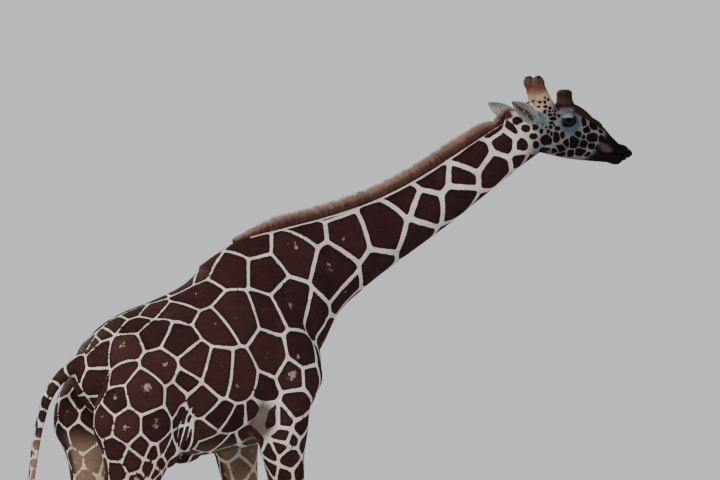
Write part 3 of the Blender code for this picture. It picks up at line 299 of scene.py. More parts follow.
# Patches on the side that the photograph shows: middle and mean radius, in its pixels.
PATCH_PIXELS = (
    (350, 235, 22), (382, 226, 23.5), (406, 197, 12.5), (428, 207, 15.2), (433, 178, 15.4),
    (462, 178, 12), (472, 153, 17), (497, 173, 15), (506, 141, 11), (494, 129, 12.5), (511, 129, 8.5),
    (460, 204, 19.2), (417, 240, 18.2), (378, 267, 16), (335, 270, 24), (346, 291, 14.5), (309, 232, 11),
    (522.5, 143.5, 7.5), (520.5, 158.7, 5), (531, 157, 4), (517, 121, 3), (526, 128, 4), (533, 136, 3.5),
    (536, 145, 3.5), (230.6, 268, 17), (266.3, 272, 18), (295, 250.6, 22), (253, 245.6, 12),
    (202.5, 272, 8), (198, 295.6, 15.5), (236.9, 316, 21), (218, 326, 16), (266.9, 313, 14),
    (291.3, 305.6, 22), (314, 318, 11), (269.4, 355, 19), (241, 378.8, 18), (220.6, 372.5, 19),
    (195, 360.5, 15.5), (291, 376, 12.5), (303, 352, 14), (266, 389, 12), (201.9, 401, 14),
    (219.4, 417.5, 12.5), (236, 419, 12), (252.5, 411, 8), (201, 432.5, 11), (296, 405, 12),
    (286, 417.5, 8.5), (272.5, 418, 7), (300.6, 428, 7), (282.5, 435.5, 6), (293, 440.6, 5),
    (282, 448, 5.5), (290, 459, 9), (304, 442, 6), (270, 455, 5.5), (270, 468, 5.5), (285, 476, 6),
    (230, 441, 7), (215, 443, 6), (122.5, 345, 18), (114.4, 324.4, 8), (134.4, 325.6, 10),
    (153.8, 333, 14.5), (150.6, 311, 6.5), (133.8, 312.5, 4), (174.4, 311.3, 13.5), (178.1, 342.5, 15),
    (161.9, 367.5, 15), (120, 373.8, 12), (97.5, 356, 12), (102.8, 334.4, 4), (93.5, 344, 4),
    (95.6, 383, 13), (114.4, 400, 13), (145.6, 391.3, 20), (103, 421, 13.5), (126.3, 427.5, 14),
    (155.6, 427, 15), (115, 450.6, 12), (97.3, 443, 5), (140.6, 447, 9.5), (131.9, 462, 11),
    (117, 471, 11), (175.6, 397.5, 11), (186.3, 382, 10.5), (178.8, 420, 9), (180, 432, 8),
    (152.5, 453.5, 6.5), (163, 448, 5.5), (148, 468, 6.5), (160.5, 463.8, 5), (168.5, 453, 6),
    (171, 465.5, 5), (155.6, 473, 4.5), (165.8, 474, 4), (76, 367, 6), (84, 402, 8), (311, 376, 7),
)

# Pale flecks inside patches: pixel and radius in pixels.
FLECK_PIXELS = (
    (290, 305, 8), (330, 267, 6), (122, 345, 6), (146, 388, 8), (291, 375, 8), (267, 354, 6),
    (296, 246, 6), (230, 265, 3), (235, 309, 4), (238, 320, 4), (217, 324, 4), (181, 341, 5),
    (198, 294, 3), (262, 274, 3), (264, 310, 2), (345, 240, 4), (383, 228, 3), (345, 293, 3),
    (378, 270, 3), (118, 375, 3), (116, 397, 4), (125, 427, 4), (156, 425, 7), (237, 387, 4),
    (225, 369, 3), (194, 358, 3), (164, 366, 4), (102, 420, 3), (202, 405, 3), (297, 355, 4),
)

# Dark spots of the face and throat: pixel, half width and half height in pixels.
SPOT_PIXELS = (
    (530, 105, 1.56, 1.85), (536.5, 103.5, 1.28, 1.14), (539.9, 102.1, 1.7, 1.6),
    (545, 102.3, 1.56, 1.99), (548, 99.7, 1.7, 1.7), (544.7, 97.6, 1.42, 1.42),
    (539.3, 106.2, 2.41, 1.28), (545.1, 106.5, 2.56, 1.85), (549.4, 107.9, 1.99, 1.85),
    (551.6, 105.5, 1.42, 1.56), (552.4, 102.6, 1.42, 1.99), (557.8, 105.7, 1.56, 1.7),
    (558, 109.4, 1.7, 1.85), (555.3, 111.2, 1.85, 1.56), (552.5, 111.3, 1.14, 1.28),
    (549, 111.2, 2.13, 1.56), (545.4, 111.7, 1.99, 2.56), (550.3, 114.9, 2.84, 1.85),
    (554.5, 114.4, 1.85, 1.7), (558.9, 116, 1.99, 1.7), (553, 118.7, 3.66, 2.24),
    (551.3, 122.8, 2.84, 1.85), (550.1, 126.5, 2.84, 2.27), (554.7, 126, 1.85, 1.56),
    (557.4, 128.5, 2.98, 2.7), (545.8, 127.4, 1.85, 1.56), (541.9, 131.3, 1.89, 2.71),
    (548.2, 131.3, 1.89, 2.71), (551.6, 134, 1.77, 3.54), (554.8, 105.2, 1.28, 1.42),
    (555, 108.2, 1.42, 1.42), (554.6, 101.2, 1.42, 1.56), (556.6, 137.5, 3.78, 6.37),
    (562.3, 135, 2.76, 3.63), (546.5, 139.7, 5.31, 5.31), (566.8, 143.5, 4.63, 5),
    (574.3, 142.2, 6.13, 7.25), (584, 143.7, 5, 5.26), (571.5, 152.8, 4.25, 4.88),
    (580.3, 151.8, 6.51, 4.75), (592.2, 137.4, 7.25, 5.26), (593.5, 125.3, 5, 5),
    (602.7, 126.5, 6.25, 4.75), (584, 122, 3.13, 5.5), (586.4, 129.6, 4.12, 4.12),
    (601.2, 138.5, 3.75, 3.75), (591.5, 146, 5, 3.25), (597.1, 146.8, 2.63, 2.87),
    (561.5, 147.8, 7.88, 4.01), (554.2, 151, 4.37, 5.19), (545.3, 150.9, 6.73, 3.89),
    (578, 135.6, 4.38, 4.38), (583.2, 137, 2.87, 3), (533, 136.2, 4.13, 3.54), (536.4, 144.5, 3.54, 4.25),
    (526.2, 128, 4.48, 4.01), (534.8, 128, 3.78, 2.71), (516.8, 121.2, 5.4, 4.3), (522.5, 144, 5.6, 6.6),
    (530.5, 158.2, 5.66, 3.89), (541.5, 151.5, 3.2, 2.6), (561, 154, 4.5, 2.6), (587, 154.5, 3.2, 2.6),
    (601, 131.5, 3, 2.6), (563.5, 124.5, 1.4, 1.4), (533, 101, 1.3, 1.3), (536.4, 99.2, 1.4, 1.2),
    (541.2, 98.4, 1.5, 1.3), (550.6, 98.3, 1.2, 1.4), (543.3, 100.4, 1.2, 1.1), (528.6, 103.2, 1.6, 1.4),
    (532.2, 106.4, 1.4, 1.2), (548.6, 95, 1.3, 1.3), (545.4, 93.8, 1.1, 1), (540.8, 94.8, 1.1, 1),
    (551.9, 94.6, 1, 1.1), (536.6, 95.8, 1, 0.9),
)


def smooth_step(value):
    """Rises from 0 to 1 as 3v^2 - 2v^3."""
    value = np.clip(value, 0, 1)
    return value * value * (3 - 2 * value)


def bell(value, width):
    """1 at 0 and falling off to both sides as exp(-(value / width)^2)."""
    return np.exp(-((value / width) ** 2))


def columns(*rows):
    return np.stack(rows, axis=1)


def lengths(vectors):
    return np.linalg.norm(vectors, axis=1)


def circle(count):
    """Angles at even steps once round."""
    return np.linspace(0, 2 * math.pi, count, endpoint=False)


def powered(value, power):
    """The value's size to this power, with its sign."""
    return np.sign(value) * np.abs(value) ** power


def unit(vectors):
    return vectors / np.maximum(np.linalg.norm(vectors, axis=-1, keepdims=True), 1e-9)


def eased(rows, count):
    """A table's rows at count even steps of the cubic that runs smoothly through them."""
    rows = np.array(rows, float)
    steps = lengths(np.diff(rows[:, :3], axis=0))
    reach = np.concatenate([[0], np.cumsum(steps)])
    slopes = np.gradient(rows, reach, axis=0)
    at = np.linspace(0, reach[-1], count)
    before = np.clip(np.searchsorted(reach, at, side="right") - 1, 0, len(rows) - 2)
    span = (reach[before + 1] - reach[before])[:, None]
    share = (at[:, None] - reach[before][:, None]) / span
    near, far = (1 + 2 * share) * (1 - share) ** 2, share**2 * (3 - 2 * share)
    bend = share * (1 - share) ** 2 * slopes[before] - share**2 * (1 - share) * slopes[before + 1]
    return near * rows[before] + far * rows[before + 1] + bend * span


def neck_plan(distance):
    """Plan position and heading of the neck at horizontal distances from the withers."""
    fine = np.linspace(-2.0, 2.9, 981)
    heading = -NECK_BEND * smooth_step((fine - BEND_START) / (BEND_END - BEND_START))
    step = fine[1] - fine[0]
    along = np.cumsum(np.cos(heading)) * step
    aside = np.cumsum(np.sin(heading)) * step
    along -= np.interp(0, fine, along)
    aside -= np.interp(0, fine, aside)
    return np.array([np.interp(distance, fine, row) for row in (along, aside, heading)])


def on_neck(distance, height):
    """The point on the neck's own upright middle surface."""
    along, aside, _ = neck_plan(distance)
    return np.stack([along, aside, np.asarray(height, float)], axis=-1)


def leftward(heading):
    """Level directions to the left of headings."""
    return np.stack([-np.sin(heading), np.cos(heading), 0 * heading], axis=-1)


def head_matrix():
    """From the head's own frame (along, left, up) to the animal's."""
    along, aside, heading = neck_plan(POLL_DISTANCE)
    turn = Matrix.Rotation(heading, 4, "Z") @ Matrix.Rotation(HEAD_PITCH, 4, "Y")
    return Matrix.Translation((along, aside, POLL_HEIGHT)) @ turn


HEAD_PLACE = np.array(head_matrix())
HEAD_AXES, HEAD_ORIGIN = HEAD_PLACE[:3, :3], HEAD_PLACE[:3, 3]


def from_head(points):
    return np.asarray(points, float) @ HEAD_AXES.T + HEAD_ORIGIN


def to_head(points):
    return (np.asarray(points, float) - HEAD_ORIGIN) @ HEAD_AXES


def folded(local):
    """Points of the head's own frame with its right side laid over its left."""
    return columns(local[:, 0], np.abs(local[:, 1]), local[:, 2])


def withers_place():
    """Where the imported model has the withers: the middle between its eyes, against the one made here."""
    eyes = [np.mean(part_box("eye_" + side), axis=0) for side in SIDES]
    return np.mean(eyes, axis=0) - from_head((EYE_ALONG, 0, EYE_UP))


WITHERS = withers_place()


def photograph_camera():
    """The photograph's camera in the animal's frame: its place, and its right, up and backward directions."""
    ahead = (PICTURE_WIDTH / 2 - VIEW_PIXEL[0]) / PIXELS_A_METRE
    height = VIEW_HEIGHT + (VIEW_PIXEL[1] - PICTURE_HEIGHT / 2) / PIXELS_A_METRE
    right = np.array([math.cos(VIEW_TURN), -math.sin(VIEW_TURN), 0.0])
    target = right * ahead + (0, 0, height)
    place = target - CAMERA_DISTANCE * np.array([math.sin(VIEW_TURN), math.cos(VIEW_TURN), 0.0])
    place[2] = CAMERA_HEIGHT
    back = unit(place - target)
    return place, right, np.cross(back, right), back


def picture_pixels(points):
    """Where points of the animal's frame fall in the photograph, and how near to its camera they lie."""
    place, right, up, back = photograph_camera()
    away = points - place
    depth = -(away @ back)
    scale = PIXELS_A_METRE * CAMERA_DISTANCE / depth
    px = PICTURE_WIDTH / 2 + scale * (away @ right)
    py = PICTURE_HEIGHT / 2 - scale * (away @ up)
    return px, py, -depth


def body_places(points):
    """Distance along the body, offset to its left and height, with the neck's bend straightened."""
    fine = np.linspace(BODY_START, 2.9, 451)
    along, aside, heading = neck_plan(fine)
    ahead = columns(np.cos(heading), np.sin(heading))
    offset = np.sum(columns(along, aside) * ahead, axis=1)
    distance = points[:, 0].astype(float)
    for _ in range(6):
        turn = -NECK_BEND * smooth_step((distance - BEND_START) / (BEND_END - BEND_START))
        reach = points[:, 0] * np.cos(turn) + points[:, 1] * np.sin(turn)
        distance = distance + reach - np.interp(distance, fine, offset)
    here = neck_plan(distance)
    left = -(points[:, 0] - here[0]) * np.sin(here[2]) + (points[:, 1] - here[1]) * np.cos(here[2])
    return columns(distance, left, points[:, 2])


def unwrap(points):
    """The skin laid flat: its right side in the left half of the map, its left side in the right half."""
    distance, left, height = body_places(points).T
    across = 0.02 + 0.44 * (distance - BODY_START) / BODY_LENGTH + 0.5 * (left > 0)
    return columns(across, 0.02 + 0.94 * height / BODY_HEIGHT)


def tube_faces(rings, around):
    """Quads between rings of equally many points, and a fan of triangles over each end."""
    ring, place = np.meshgrid(np.arange(rings - 1), np.arange(around), indexing="ij")
    low, after = ring * around, (place + 1) % around
    quads = np.stack([low + place, low + after, low + around + after, low + around + place], axis=-1)
    fan = columns(np.zeros(around - 2, int), np.arange(2, around), np.arange(1, around - 1))
    last = fan[:, ::-1] + (rings - 1) * around
    return quads.reshape(-1, 4).tolist() + fan.tolist() + last.tolist()


def loft(centres, up, side, above, below, half, power=2.0, around=40):
    """Ovals |a|^p + |b|^p = 1, each with its own reach up, down and sideways, along centres."""
    angle = circle(around)[None, :]
    share = 2 / np.broadcast_to(np.asarray(power, float), (len(centres),))[:, None]
    across = powered(np.cos(angle), share)
    rise = powered(np.sin(angle), share)
    across = across * np.asarray(half)[:, None]
    rise = rise * np.where(rise > 0, np.asarray(above)[:, None], np.asarray(below)[:, None])
    up, side = np.broadcast_to(up, centres.shape), np.broadcast_to(side, centres.shape)
    rings = centres[:, None] + across[..., None] * side[:, None] + rise[..., None] * up[:, None]
    return rings.reshape(-1, 3), tube_faces(len(centres), around)


def blob(centre, radii, lean=0.0):
    """An ellipsoid, turned by lean about the left-right axis: rings of radius sin t at heights cos t."""
    step = np.linspace(0.02, math.pi - 0.02, BLOB_RINGS)
    turn = circle(BLOB_ROUND)
    ball = np.stack([
        np.outer(np.sin(step), np.cos(turn)),
        np.outer(np.sin(step), np.sin(turn)),
        np.outer(np.cos(step), np.ones_like(turn)),
    ], axis=-1) * np.array(radii)
    axes = np.array(Matrix.Rotation(lean, 3, "Y"))
    return (ball.reshape(-1, 3) @ axes.T) + np.array(centre), tube_faces(BLOB_RINGS, BLOB_ROUND)


NECK_CREST = eased(NECK, 200)[:, :2].T


def above_crest(distance, height):
    """How far heights lie above the neck's own crest."""
    return height - np.interp(distance, *NECK_CREST)


def trunk_shape():
    x, top, bottom, half, middle, power = eased(TRUNK, 110).T
    centres = columns(x, 0 * x, middle)
    return loft(centres, (0, 0, 1), (0, 1, 0), top - middle, middle - bottom, half, power, 80)


def neck_shape():
    crest_at, crest, throat_at, throat, half = eased(NECK, 110).T
    high, low = on_neck(crest_at, crest), on_neck(throat_at, throat)
    depth = lengths(high - low)
    side = leftward(neck_plan((crest_at + throat_at) / 2)[2])
    up = (high - low) / depth[:, None]
    centre = (high + low) / 2 - up * (0.09 * depth)[:, None]
    return loft(centre, up, side, 0.59 * depth, 0.41 * depth, half, 1.9, 60)


def step_ahead(leg, side, height):
    """How far the leg is carried ahead at heights: not at all at the hip, and all the way at the foot."""
    return STEP[f"{leg}_{side}"] * smooth_step((2.65 - height) / 1.1)


def leg_shape(leg, side):
    x, y, z, front, back, half = eased(LEG_TABLES[leg], 160).T
    x = x + step_ahead(leg, side, z)
    centres = columns(x, SIDES[side] * y, z)
    return loft(centres, (1, 0, 0), (0, 1, 0), front, back, half, 2.1, 44)


def tail_shape():
    x, y, z, radius = eased(TAIL, 90).T
    centres = columns(x, y, z)
    run = unit(np.gradient(centres, axis=0))
    side = np.tile((0.0, 1.0, 0.0), (len(x), 1))
    return loft(centres, unit(np.cross(run, side)), side, radius, radius, radius * 0.92, 2.0, 20)


def muscle_shapes():
    """Bones and muscles that stand out of the plain lofts."""
    back, front = math.radians(-24), math.radians(18)
    shapes = [blob((-0.4, 0, 1.885), (0.12, 0.035, 0.045), math.radians(-12))]
    for side, sign in SIDES.items():
        fore, hind = STEP["foreleg_" + side], STEP["hindleg_" + side]
        shapes += [
            blob((-0.66, sign * 0.19, 2.64), (0.17, 0.075, 0.085), back),
            blob((-0.9, sign * 0.165, 2.46), (0.19, 0.11, 0.15), back),
            blob((0.04, sign * 0.125, 2.76), (0.15, 0.085, 0.27), front),
            blob((0.325, sign * 0.155, 2.4), (0.115, 0.1, 0.15)),
            blob((0.05, sign * 0.225, 2.16), (0.17, 0.09, 0.21)),
            blob((-0.6, sign * 0.235, 2.03), (0.13, 0.055, 0.13)),
            blob((0.255 + fore * 0.8, sign * 0.18, 1.09), (0.042, 0.055, 0.085)),
            blob((-1.205 + hind * 0.8, sign * 0.195, 1.165), (0.052, 0.036, 0.085), front),
            blob((-1.17 + hind * 0.7, sign * 0.197, 1.33), (0.03, 0.024, 0.2), front),
            blob((-0.7 + hind * 0.4, sign * 0.235, 1.93), (0.085, 0.075, 0.12)),
            blob((0.165 + fore, sign * 0.178, 0.315), (0.075, 0.062, 0.045)),
            blob((-1.115 + hind, sign * 0.192, 0.305), (0.073, 0.06, 0.045)),
        ]
    return shapes


def ossicone_axis(aside, lean):
    return np.array([-math.sin(lean), OSSICONE_SPREAD * np.sign(aside), math.cos(lean)])


def ossicone_shape(along, aside, up, lean, length, radii, trim=0.0, trim_from=1.0, start=0.0):
    """A round loft that narrows from its base to a knob. From trim_from along it is trim thinner."""
    still = np.zeros(len(radii))
    rows = columns(np.linspace(0, length, len(radii)), still, still, radii)
    reach, _, _, radius = eased(rows, 44).T
    keep = reach >= start
    reach, radius = reach[keep], radius[keep]
    radius = radius - trim * smooth_step((reach - trim_from) / 0.004)
    centres = np.array([along, aside, up]) + reach[:, None] * ossicone_axis(aside, lean)
    front = np.array([math.cos(lean), 0, math.sin(lean)])
    points, faces = loft(centres, front, (0, 1, 0), radius * 1.12, radius * 1.12, radius, 2.0, 36)
    return from_head(points), faces


def head_shapes():
    """The skull, muzzle, cheeks, brows and the feet of the ossicones."""
    along, top, bottom, half, middle = eased(HEAD, 120).T
    centres = columns(along, 0 * along, middle)
    shapes = [loft(centres, (0, 0, 1), (0, 1, 0), top - middle, middle - bottom, half, 2.15, 72)]
    shapes += [
        blob((0.43, 0, 0.078), (0.13, 0.04, 0.036)),
        blob((0.33, 0, 0.095), (0.085, 0.05, 0.05), BROW_DROP),
        blob((0.41, 0, 0.098), (0.115, 0.042, 0.04), BROW_DROP),
        blob((0.745, 0, -0.02), (0.05, 0.043, 0.027)),
        blob((0.68, 0, -0.088), (0.06, 0.034, 0.028)),
        blob((0.075, 0, 0.035), (0.075, 0.07, 0.04)),
    ]
    for sign in SIDES.values():
        shapes += [
            blob((EYE_ALONG, sign * ORBIT_SIDE, EYE_UP + 0.002), ORBIT_SIZE),
            blob((0.255, sign * 0.058, -0.085), (0.11, 0.042, 0.095)),
            blob((0.44, sign * 0.042, -0.075), (0.15, 0.03, 0.055)),
            blob((0.71, sign * 0.036, -0.012), (0.042, 0.02, 0.026)),
            blob((0.71, sign * 0.03, -0.034), (0.062, 0.025, 0.022)),
            blob((0.1, sign * 0.078, -0.03), (0.045, 0.035, 0.045)),
        ]
    shapes = [(from_head(points), faces) for points, faces in shapes]
    for place, length, radii, cut in OSSICONES.values():
        reach, skin_end = (0.86, 0.012) if place[1] == 0 else (0.92, 0.015)
        shapes.append(ossicone_shape(*place, length * reach, radii, 0.005, cut - skin_end))
    return shapes


def new_mesh(name, points, faces):
    mesh = bpy.data.meshes.new(name)
    mesh.from_pydata(points.tolist(), [], faces if isinstance(faces, list) else faces.tolist())
    mesh.update()
    return mesh


def put_in_scene(name, mesh):
    thing = bpy.data.objects.new(name, mesh)
    bpy.context.scene.collection.objects.link(thing)
    return thing


def evaluated_mesh(thing):
    """The mesh that an object's modifiers make of it. The object is removed."""
    bpy.context.view_layer.update()
    graph = bpy.context.evaluated_depsgraph_get()
    mesh = bpy.data.meshes.new_from_object(thing.evaluated_get(graph))
    bpy.data.objects.remove(thing)
    return mesh


def fused_mesh(shapes, voxel):
    """One closed surface round all the shapes."""
    points, faces, start = [], [], 0
    for some, its_faces in shapes:
        points.append(some)
        faces += [[start + corner for corner in face] for face in its_faces]
        start += len(some)
    mesh = new_mesh("clay", np.concatenate(points), faces)
    point_outwards(mesh)
    thing = put_in_scene("clay", mesh)
    skin = thing.modifiers.new("skin", "REMESH")
    skin.mode = "VOXEL"
    skin.voxel_size = voxel
    return evaluated_mesh(thing)


def read(collection, name, width, kind=np.float32):
    flat = np.empty(len(collection) * width, kind)
    collection.foreach_get(name, flat)
    return flat.reshape(-1, width)


def points_of(mesh):
    return read(mesh.vertices, "co", 3).astype(float)


def normals_of(mesh):
    return read(mesh.vertex_normals, "vector", 3).astype(float)


def set_points(mesh, points):
    mesh.vertices.foreach_set("co", points.astype(np.float32).ravel())
    mesh.update()


def neighbour_step(points, ends, count):
    """From each point to the middle of its neighbours."""
    sums = [np.bincount(ends[:, 0], points[ends[:, 1], k], len(points)) for k in range(3)]
    return np.stack(sums, axis=1) / count[:, None] - points


def relax(mesh, rounds, zones, zone_rounds):
    """Evens the skin without shrinking it, and melts the creases inside the zones (centre, radius)."""
    points, edges = points_of(mesh), read(mesh.edges, "vertices", 2, np.int32)
    ends = np.concatenate([edges, edges[:, ::-1]])
    count = np.bincount(ends[:, 0], minlength=len(points))
    melt = np.zeros(len(points))
    for centre, radius in zones:
        away = lengths(points - np.array(centre)) / radius
        melt = np.maximum(melt, smooth_step(1.6 - 1.6 * away))
    inside = melt > 0
    near = inside[ends[:, 0]]
    for _ in range(zone_rounds):
        step = neighbour_step(points, ends[near], np.maximum(count, 1))
        points += 0.5 * melt[:, None] * step * inside[:, None]
    for _ in range(rounds):
        points += 0.5 * neighbour_step(points, ends, count)
        points -= 0.52 * neighbour_step(points, ends, count)
    set_points(mesh, points)


def refine(mesh, wanted):
    """Splits each edge of the faces whose corners are all wanted, so that they become four."""
    work = bmesh.new()
    work.from_mesh(mesh)
    work.verts.ensure_lookup_table()
    chosen = {work.verts[i] for i in np.flatnonzero(wanted).tolist()}
    edges = [edge for edge in work.edges if edge.verts[0] in chosen and edge.verts[1] in chosen]
    bmesh.ops.subdivide_edges(work, edges=edges, cuts=1, use_grid_fill=True)
    work.to_mesh(mesh)
    work.free()


def thinned(mesh, triangles, keep):
    """Keeps about this many triangles, with shorter edges where keep (from 0 to 1) is higher."""
    thing = put_in_scene("thin", mesh)
    group = thing.vertex_groups.new(name="loss")
    levels = np.clip(np.round(keep * LOSS_LEVELS), 1, LOSS_LEVELS - 1)
    for level in np.unique(levels):
        group.add(np.flatnonzero(levels == level).tolist(), float(1 - level / LOSS_LEVELS), "REPLACE")
    mesh.calc_loop_triangles()
    fewer = thing.modifiers.new("fewer", "DECIMATE")
    fewer.ratio = triangles / len(mesh.loop_triangles)
    fewer.vertex_group = "loss"
    fewer.use_collapse_triangulate = True
    return evaluated_mesh(thing)


def mouth_line(along):
    """The height of the line between the lips."""
    return MOUTH_UP - 2.0 * (MOUTH_END - along) ** 2


def shape_face(points):
    """Carves the mouth, lips, nostrils and eye sockets."""
    along, aside, up = points.T
    line = mouth_line(along)
    in_mouth = smooth_step((along - MOUTH_CORNER) / 0.03)
    groove = 0.0085 * in_mouth * bell(up - line, 0.0055)
    lips = 0.003 * in_mouth * (bell(up - line - 0.013, 0.008) + bell(up - line + 0.012, 0.007))
    middle = columns(np.minimum(along, MOUTH_END), 0 * along, line)
    inward = unit((middle - points) * (1, 1, 0.15))
    points = points + (groove - lips)[:, None] * inward
    slant = (along - NOSTRIL_ALONG) * 0.55 + (up - NOSTRIL_UP) * 0.83
    across = -(along - NOSTRIL_ALONG) * 0.83 + (up - NOSTRIL_UP) * 0.55
    curve = slant + 6.0 * across**2
    hole = np.exp(-((curve / 0.0055) ** 2) - (across / 0.019) ** 4)
    rim = np.exp(-(((np.abs(curve) - 0.012) / 0.006) ** 2) - (across / 0.026) ** 4)
    side = np.sign(aside)
    points[:, 1] -= side * (hole * 0.016 - rim * 0.0025) * (np.abs(aside) > 0.012)
    eye = columns(np.full_like(along, EYE_ALONG), side * EYE_SIDE, np.full_like(along, EYE_UP))
    points[:, 1] -= side * smooth_step((0.0355 - lengths(points - eye)) / 0.006) * 0.022
    return points


def face_creases(points):
    """Depth of fine folds: rings round the eye, wrinkles above the nose, and at the corner of the mouth."""
    along, aside, up = points.T
    eye = np.hypot((along - EYE_ALONG) / 1.25, up - EYE_UP)
    rings = np.cos((eye - 0.04) / 0.0042) * bell(eye - 0.045, 0.01) * (np.abs(aside) > 0.05)
    corner = np.hypot(along - MOUTH_CORNER, up + 0.07)
    mouth = np.cos(corner / 0.003) * bell(corner, 0.022) * (np.abs(aside) > 0.02)
    nose = np.cos(along / 0.0036 + 3 * aside) * bell(along - 0.665, 0.03) * (up > -0.02)
    return -0.0011 * rings - 0.001 * mouth - 0.0007 * nose


def fold_zones(points):
    """How strongly a point lies in the folds of neck, flank and elbow, and how far across them."""
    distance, left, height = body_places(points).T
    side = smooth_step((np.abs(left) - 0.04) / 0.06)
    base = distance - 0.52 + 0.55 * (height - 2.75)
    neck = bell(base, 0.06) * smooth_step((2.95 - height) / 0.25) * side
    flank = distance + 0.575 - 0.3 * (height - 2.2)
    fold = bell(flank, 0.045) * bell(height - 2.03, 0.16) * side * (np.abs(left) > 0.1)
    elbow = np.hypot(distance - 0.02, height - 2.02)
    crease = bell(elbow - 0.1, 0.05) * side
    return (neck, base), (fold, flank), (crease, elbow)


def body_creases(points):
    """Depth of the folds of neck, flank and elbow: waves across each zone."""
    made = np.zeros(len(points))
    steps, depths = (0.019, FLANK_STEP, 0.012), (0.0026, 0.0034, 0.0028)
    for (strength, place), step, depth in zip(fold_zones(points), steps, depths):
        made -= depth * strength * np.cos(place / step)
    return made


def leg_creases(points):
    """Tendons behind the cannons, the hollows beside the knees and hocks, and pastern folds."""
    x, y, z = points.T
    made = np.zeros(len(points))
    for leg, table in LEG_TABLES.items():
        for side, sign in SIDES.items():
            rows = np.array(table)[::-1]
            middle = np.interp(z, rows[:, 2], rows[:, 0]) + step_ahead(leg, side, z)
            aside = y - sign * np.interp(z, rows[:, 2], rows[:, 1])
            here = (np.abs(x - middle) < 0.16) & (np.abs(aside) < 0.11) & (z < 1.7)
            cannon = smooth_step((z - 0.33) / 0.08) * smooth_step((0.92 - z) / 0.1)
            groove = bell(x - middle + 0.022, 0.01) * cannon * 0.0045
            above = z - JOINT_HEIGHTS[leg] - 0.05
            beside = ((x - middle + 0.035) / 0.022) ** 2 + (above / 0.07) ** 2
            hollow = np.exp(-beside) * 0.006
            pastern = np.cos(z / 0.0065) * bell(z - 0.205, 0.035) * 0.0012
            made -= here * (groove + hollow + pastern)
    return made


def leg_nearness(points):
    """1 on the legs and 0 on the trunk, rising below the elbow and stifle."""
    return smooth_step((LEG_TOP - points[:, 2]) / 0.2)


def head_nearness(points):
    return smooth_step((to_head(points)[:, 0] + 0.08) / 0.12)


def make_skin_mesh(voxel):
    """Fuses all the lofts, smooths where they meet, refines the head and carves its detail."""
    shapes = [trunk_shape(), neck_shape(), tail_shape(), *muscle_shapes(), *head_shapes()]
    shapes += [leg_shape(leg, side) for leg in LEG_TABLES for side in SIDES]
    mesh = fused_mesh(shapes, voxel)
    relax(mesh, 14, BODY_ZONES, int(BODY_ROUNDS * (FULL_VOXEL / voxel) ** 2))
    refine(mesh, to_head(points_of(mesh))[:, 0] > -0.03)
    face = [((x, sign * y, z), radius) for sign in SIDES.values() for (x, y, z), radius in FACE_ZONES]
    face = [(from_head(centre), radius) for centre, radius in face]
    relax(mesh, 6, face, int(FACE_ROUNDS * (FULL_VOXEL / voxel)))
    points = points_of(mesh)
    local = to_head(points)
    on_head = local[:, 0] > -0.05
    carved = points.copy()
    carved[on_head] = from_head(shape_face(local[on_head]))
    set_points(mesh, carved)
    normals = normals_of(mesh)
    depth = np.zeros(len(points))
    depth[on_head] = face_creases(local[on_head])
    depth[~on_head] = body_creases(points[~on_head]) + leg_creases(points[~on_head])
    set_points(mesh, carved + normals * depth[:, None])
    return mesh


def skin_detail(points, patch):
    """How closely the skin needs its points: most on the face, then at lines between patches and in folds."""
    local = to_head(points)
    face = smooth_step((local[:, 0] + 0.12) / 0.08)
    lined = smooth_step((0.012 - np.abs(patch + 0.002)) / 0.008)
    ridge = smooth_step((0.017 - np.abs(patch + 0.005)) / 0.008)
    body = np.where(points[:, 2] < LEG_TOP, 0.22 + 0.16 * ridge, 0.13 + 0.27 * ridge)
    folds = np.max([strength for strength, _ in fold_zones(points)], axis=0)
    body = np.maximum(body, 0.6 * folds)
    muzzle = smooth_step((local[:, 0] - 0.56) / 0.06)
    eye = lengths(local * (1, 0, 1) - (EYE_ALONG, 0, EYE_UP))
    near_eye = smooth_step((0.075 - eye) / 0.02)
    head = 0.5 + 0.48 * np.maximum(lined, np.maximum(near_eye * 0.6, muzzle * 0.5))
    return body + (head - body) * face


def patch_space(points):
    """Where a point lies for the patches: its body place with the two sides drawn apart."""
    places = body_places(points)
    places[:, 1] *= 1.8
    return places


def patch_size(points):
    """How far apart patches stand: widest on neck and trunk, small on the legs."""
    distance, _, height = body_places(points).T
    places = (-1.5, -1.1, -0.8, -0.3, 0.4, 1.2, 1.9, 2.1)
    size = np.interp(distance, places, (0.05, 0.15, 0.19, 0.25, 0.27, 0.23, 0.12, 0.06))
    legs = np.interp(height, (0.1, 0.5, 1.0, 1.5, 1.8, 2.2), (0.045, 0.05, 0.06, 0.08, 0.105, 0.3))
    return np.minimum(size, legs)


def line_width(points):
    """Half the width of the pale lines between patches."""
    distance, _, height = body_places(points).T
    places = (-1.1, -0.5, 0.2, 0.6, 1.2, 2.0)
    trunk = np.interp(distance, places, (0.0068, 0.0082, 0.0105, 0.014, 0.0165, 0.015))
    legs = np.interp(height, (0.3, 1.0, 1.6, 1.9, 2.1), (0.008, 0.0085, 0.009, 0.0095, 0.03))
    return np.minimum(trunk, legs)


def nearest_points(pixels, points, reach=4.0):
    """The points of the skin's front layer that are closest to these pixels of the photograph."""
    px, py, near = picture_pixels(points)
    found = []
    for x, y in pixels:
        away = np.hypot(px - x, py - y)
        close = np.flatnonzero(away < max(reach, away.min() + 1.0))
        front = close[near[close] > near[close].max() - LAYER_DEPTH]
        found.append(front[np.argmin(away[front])])
    return np.array(found)


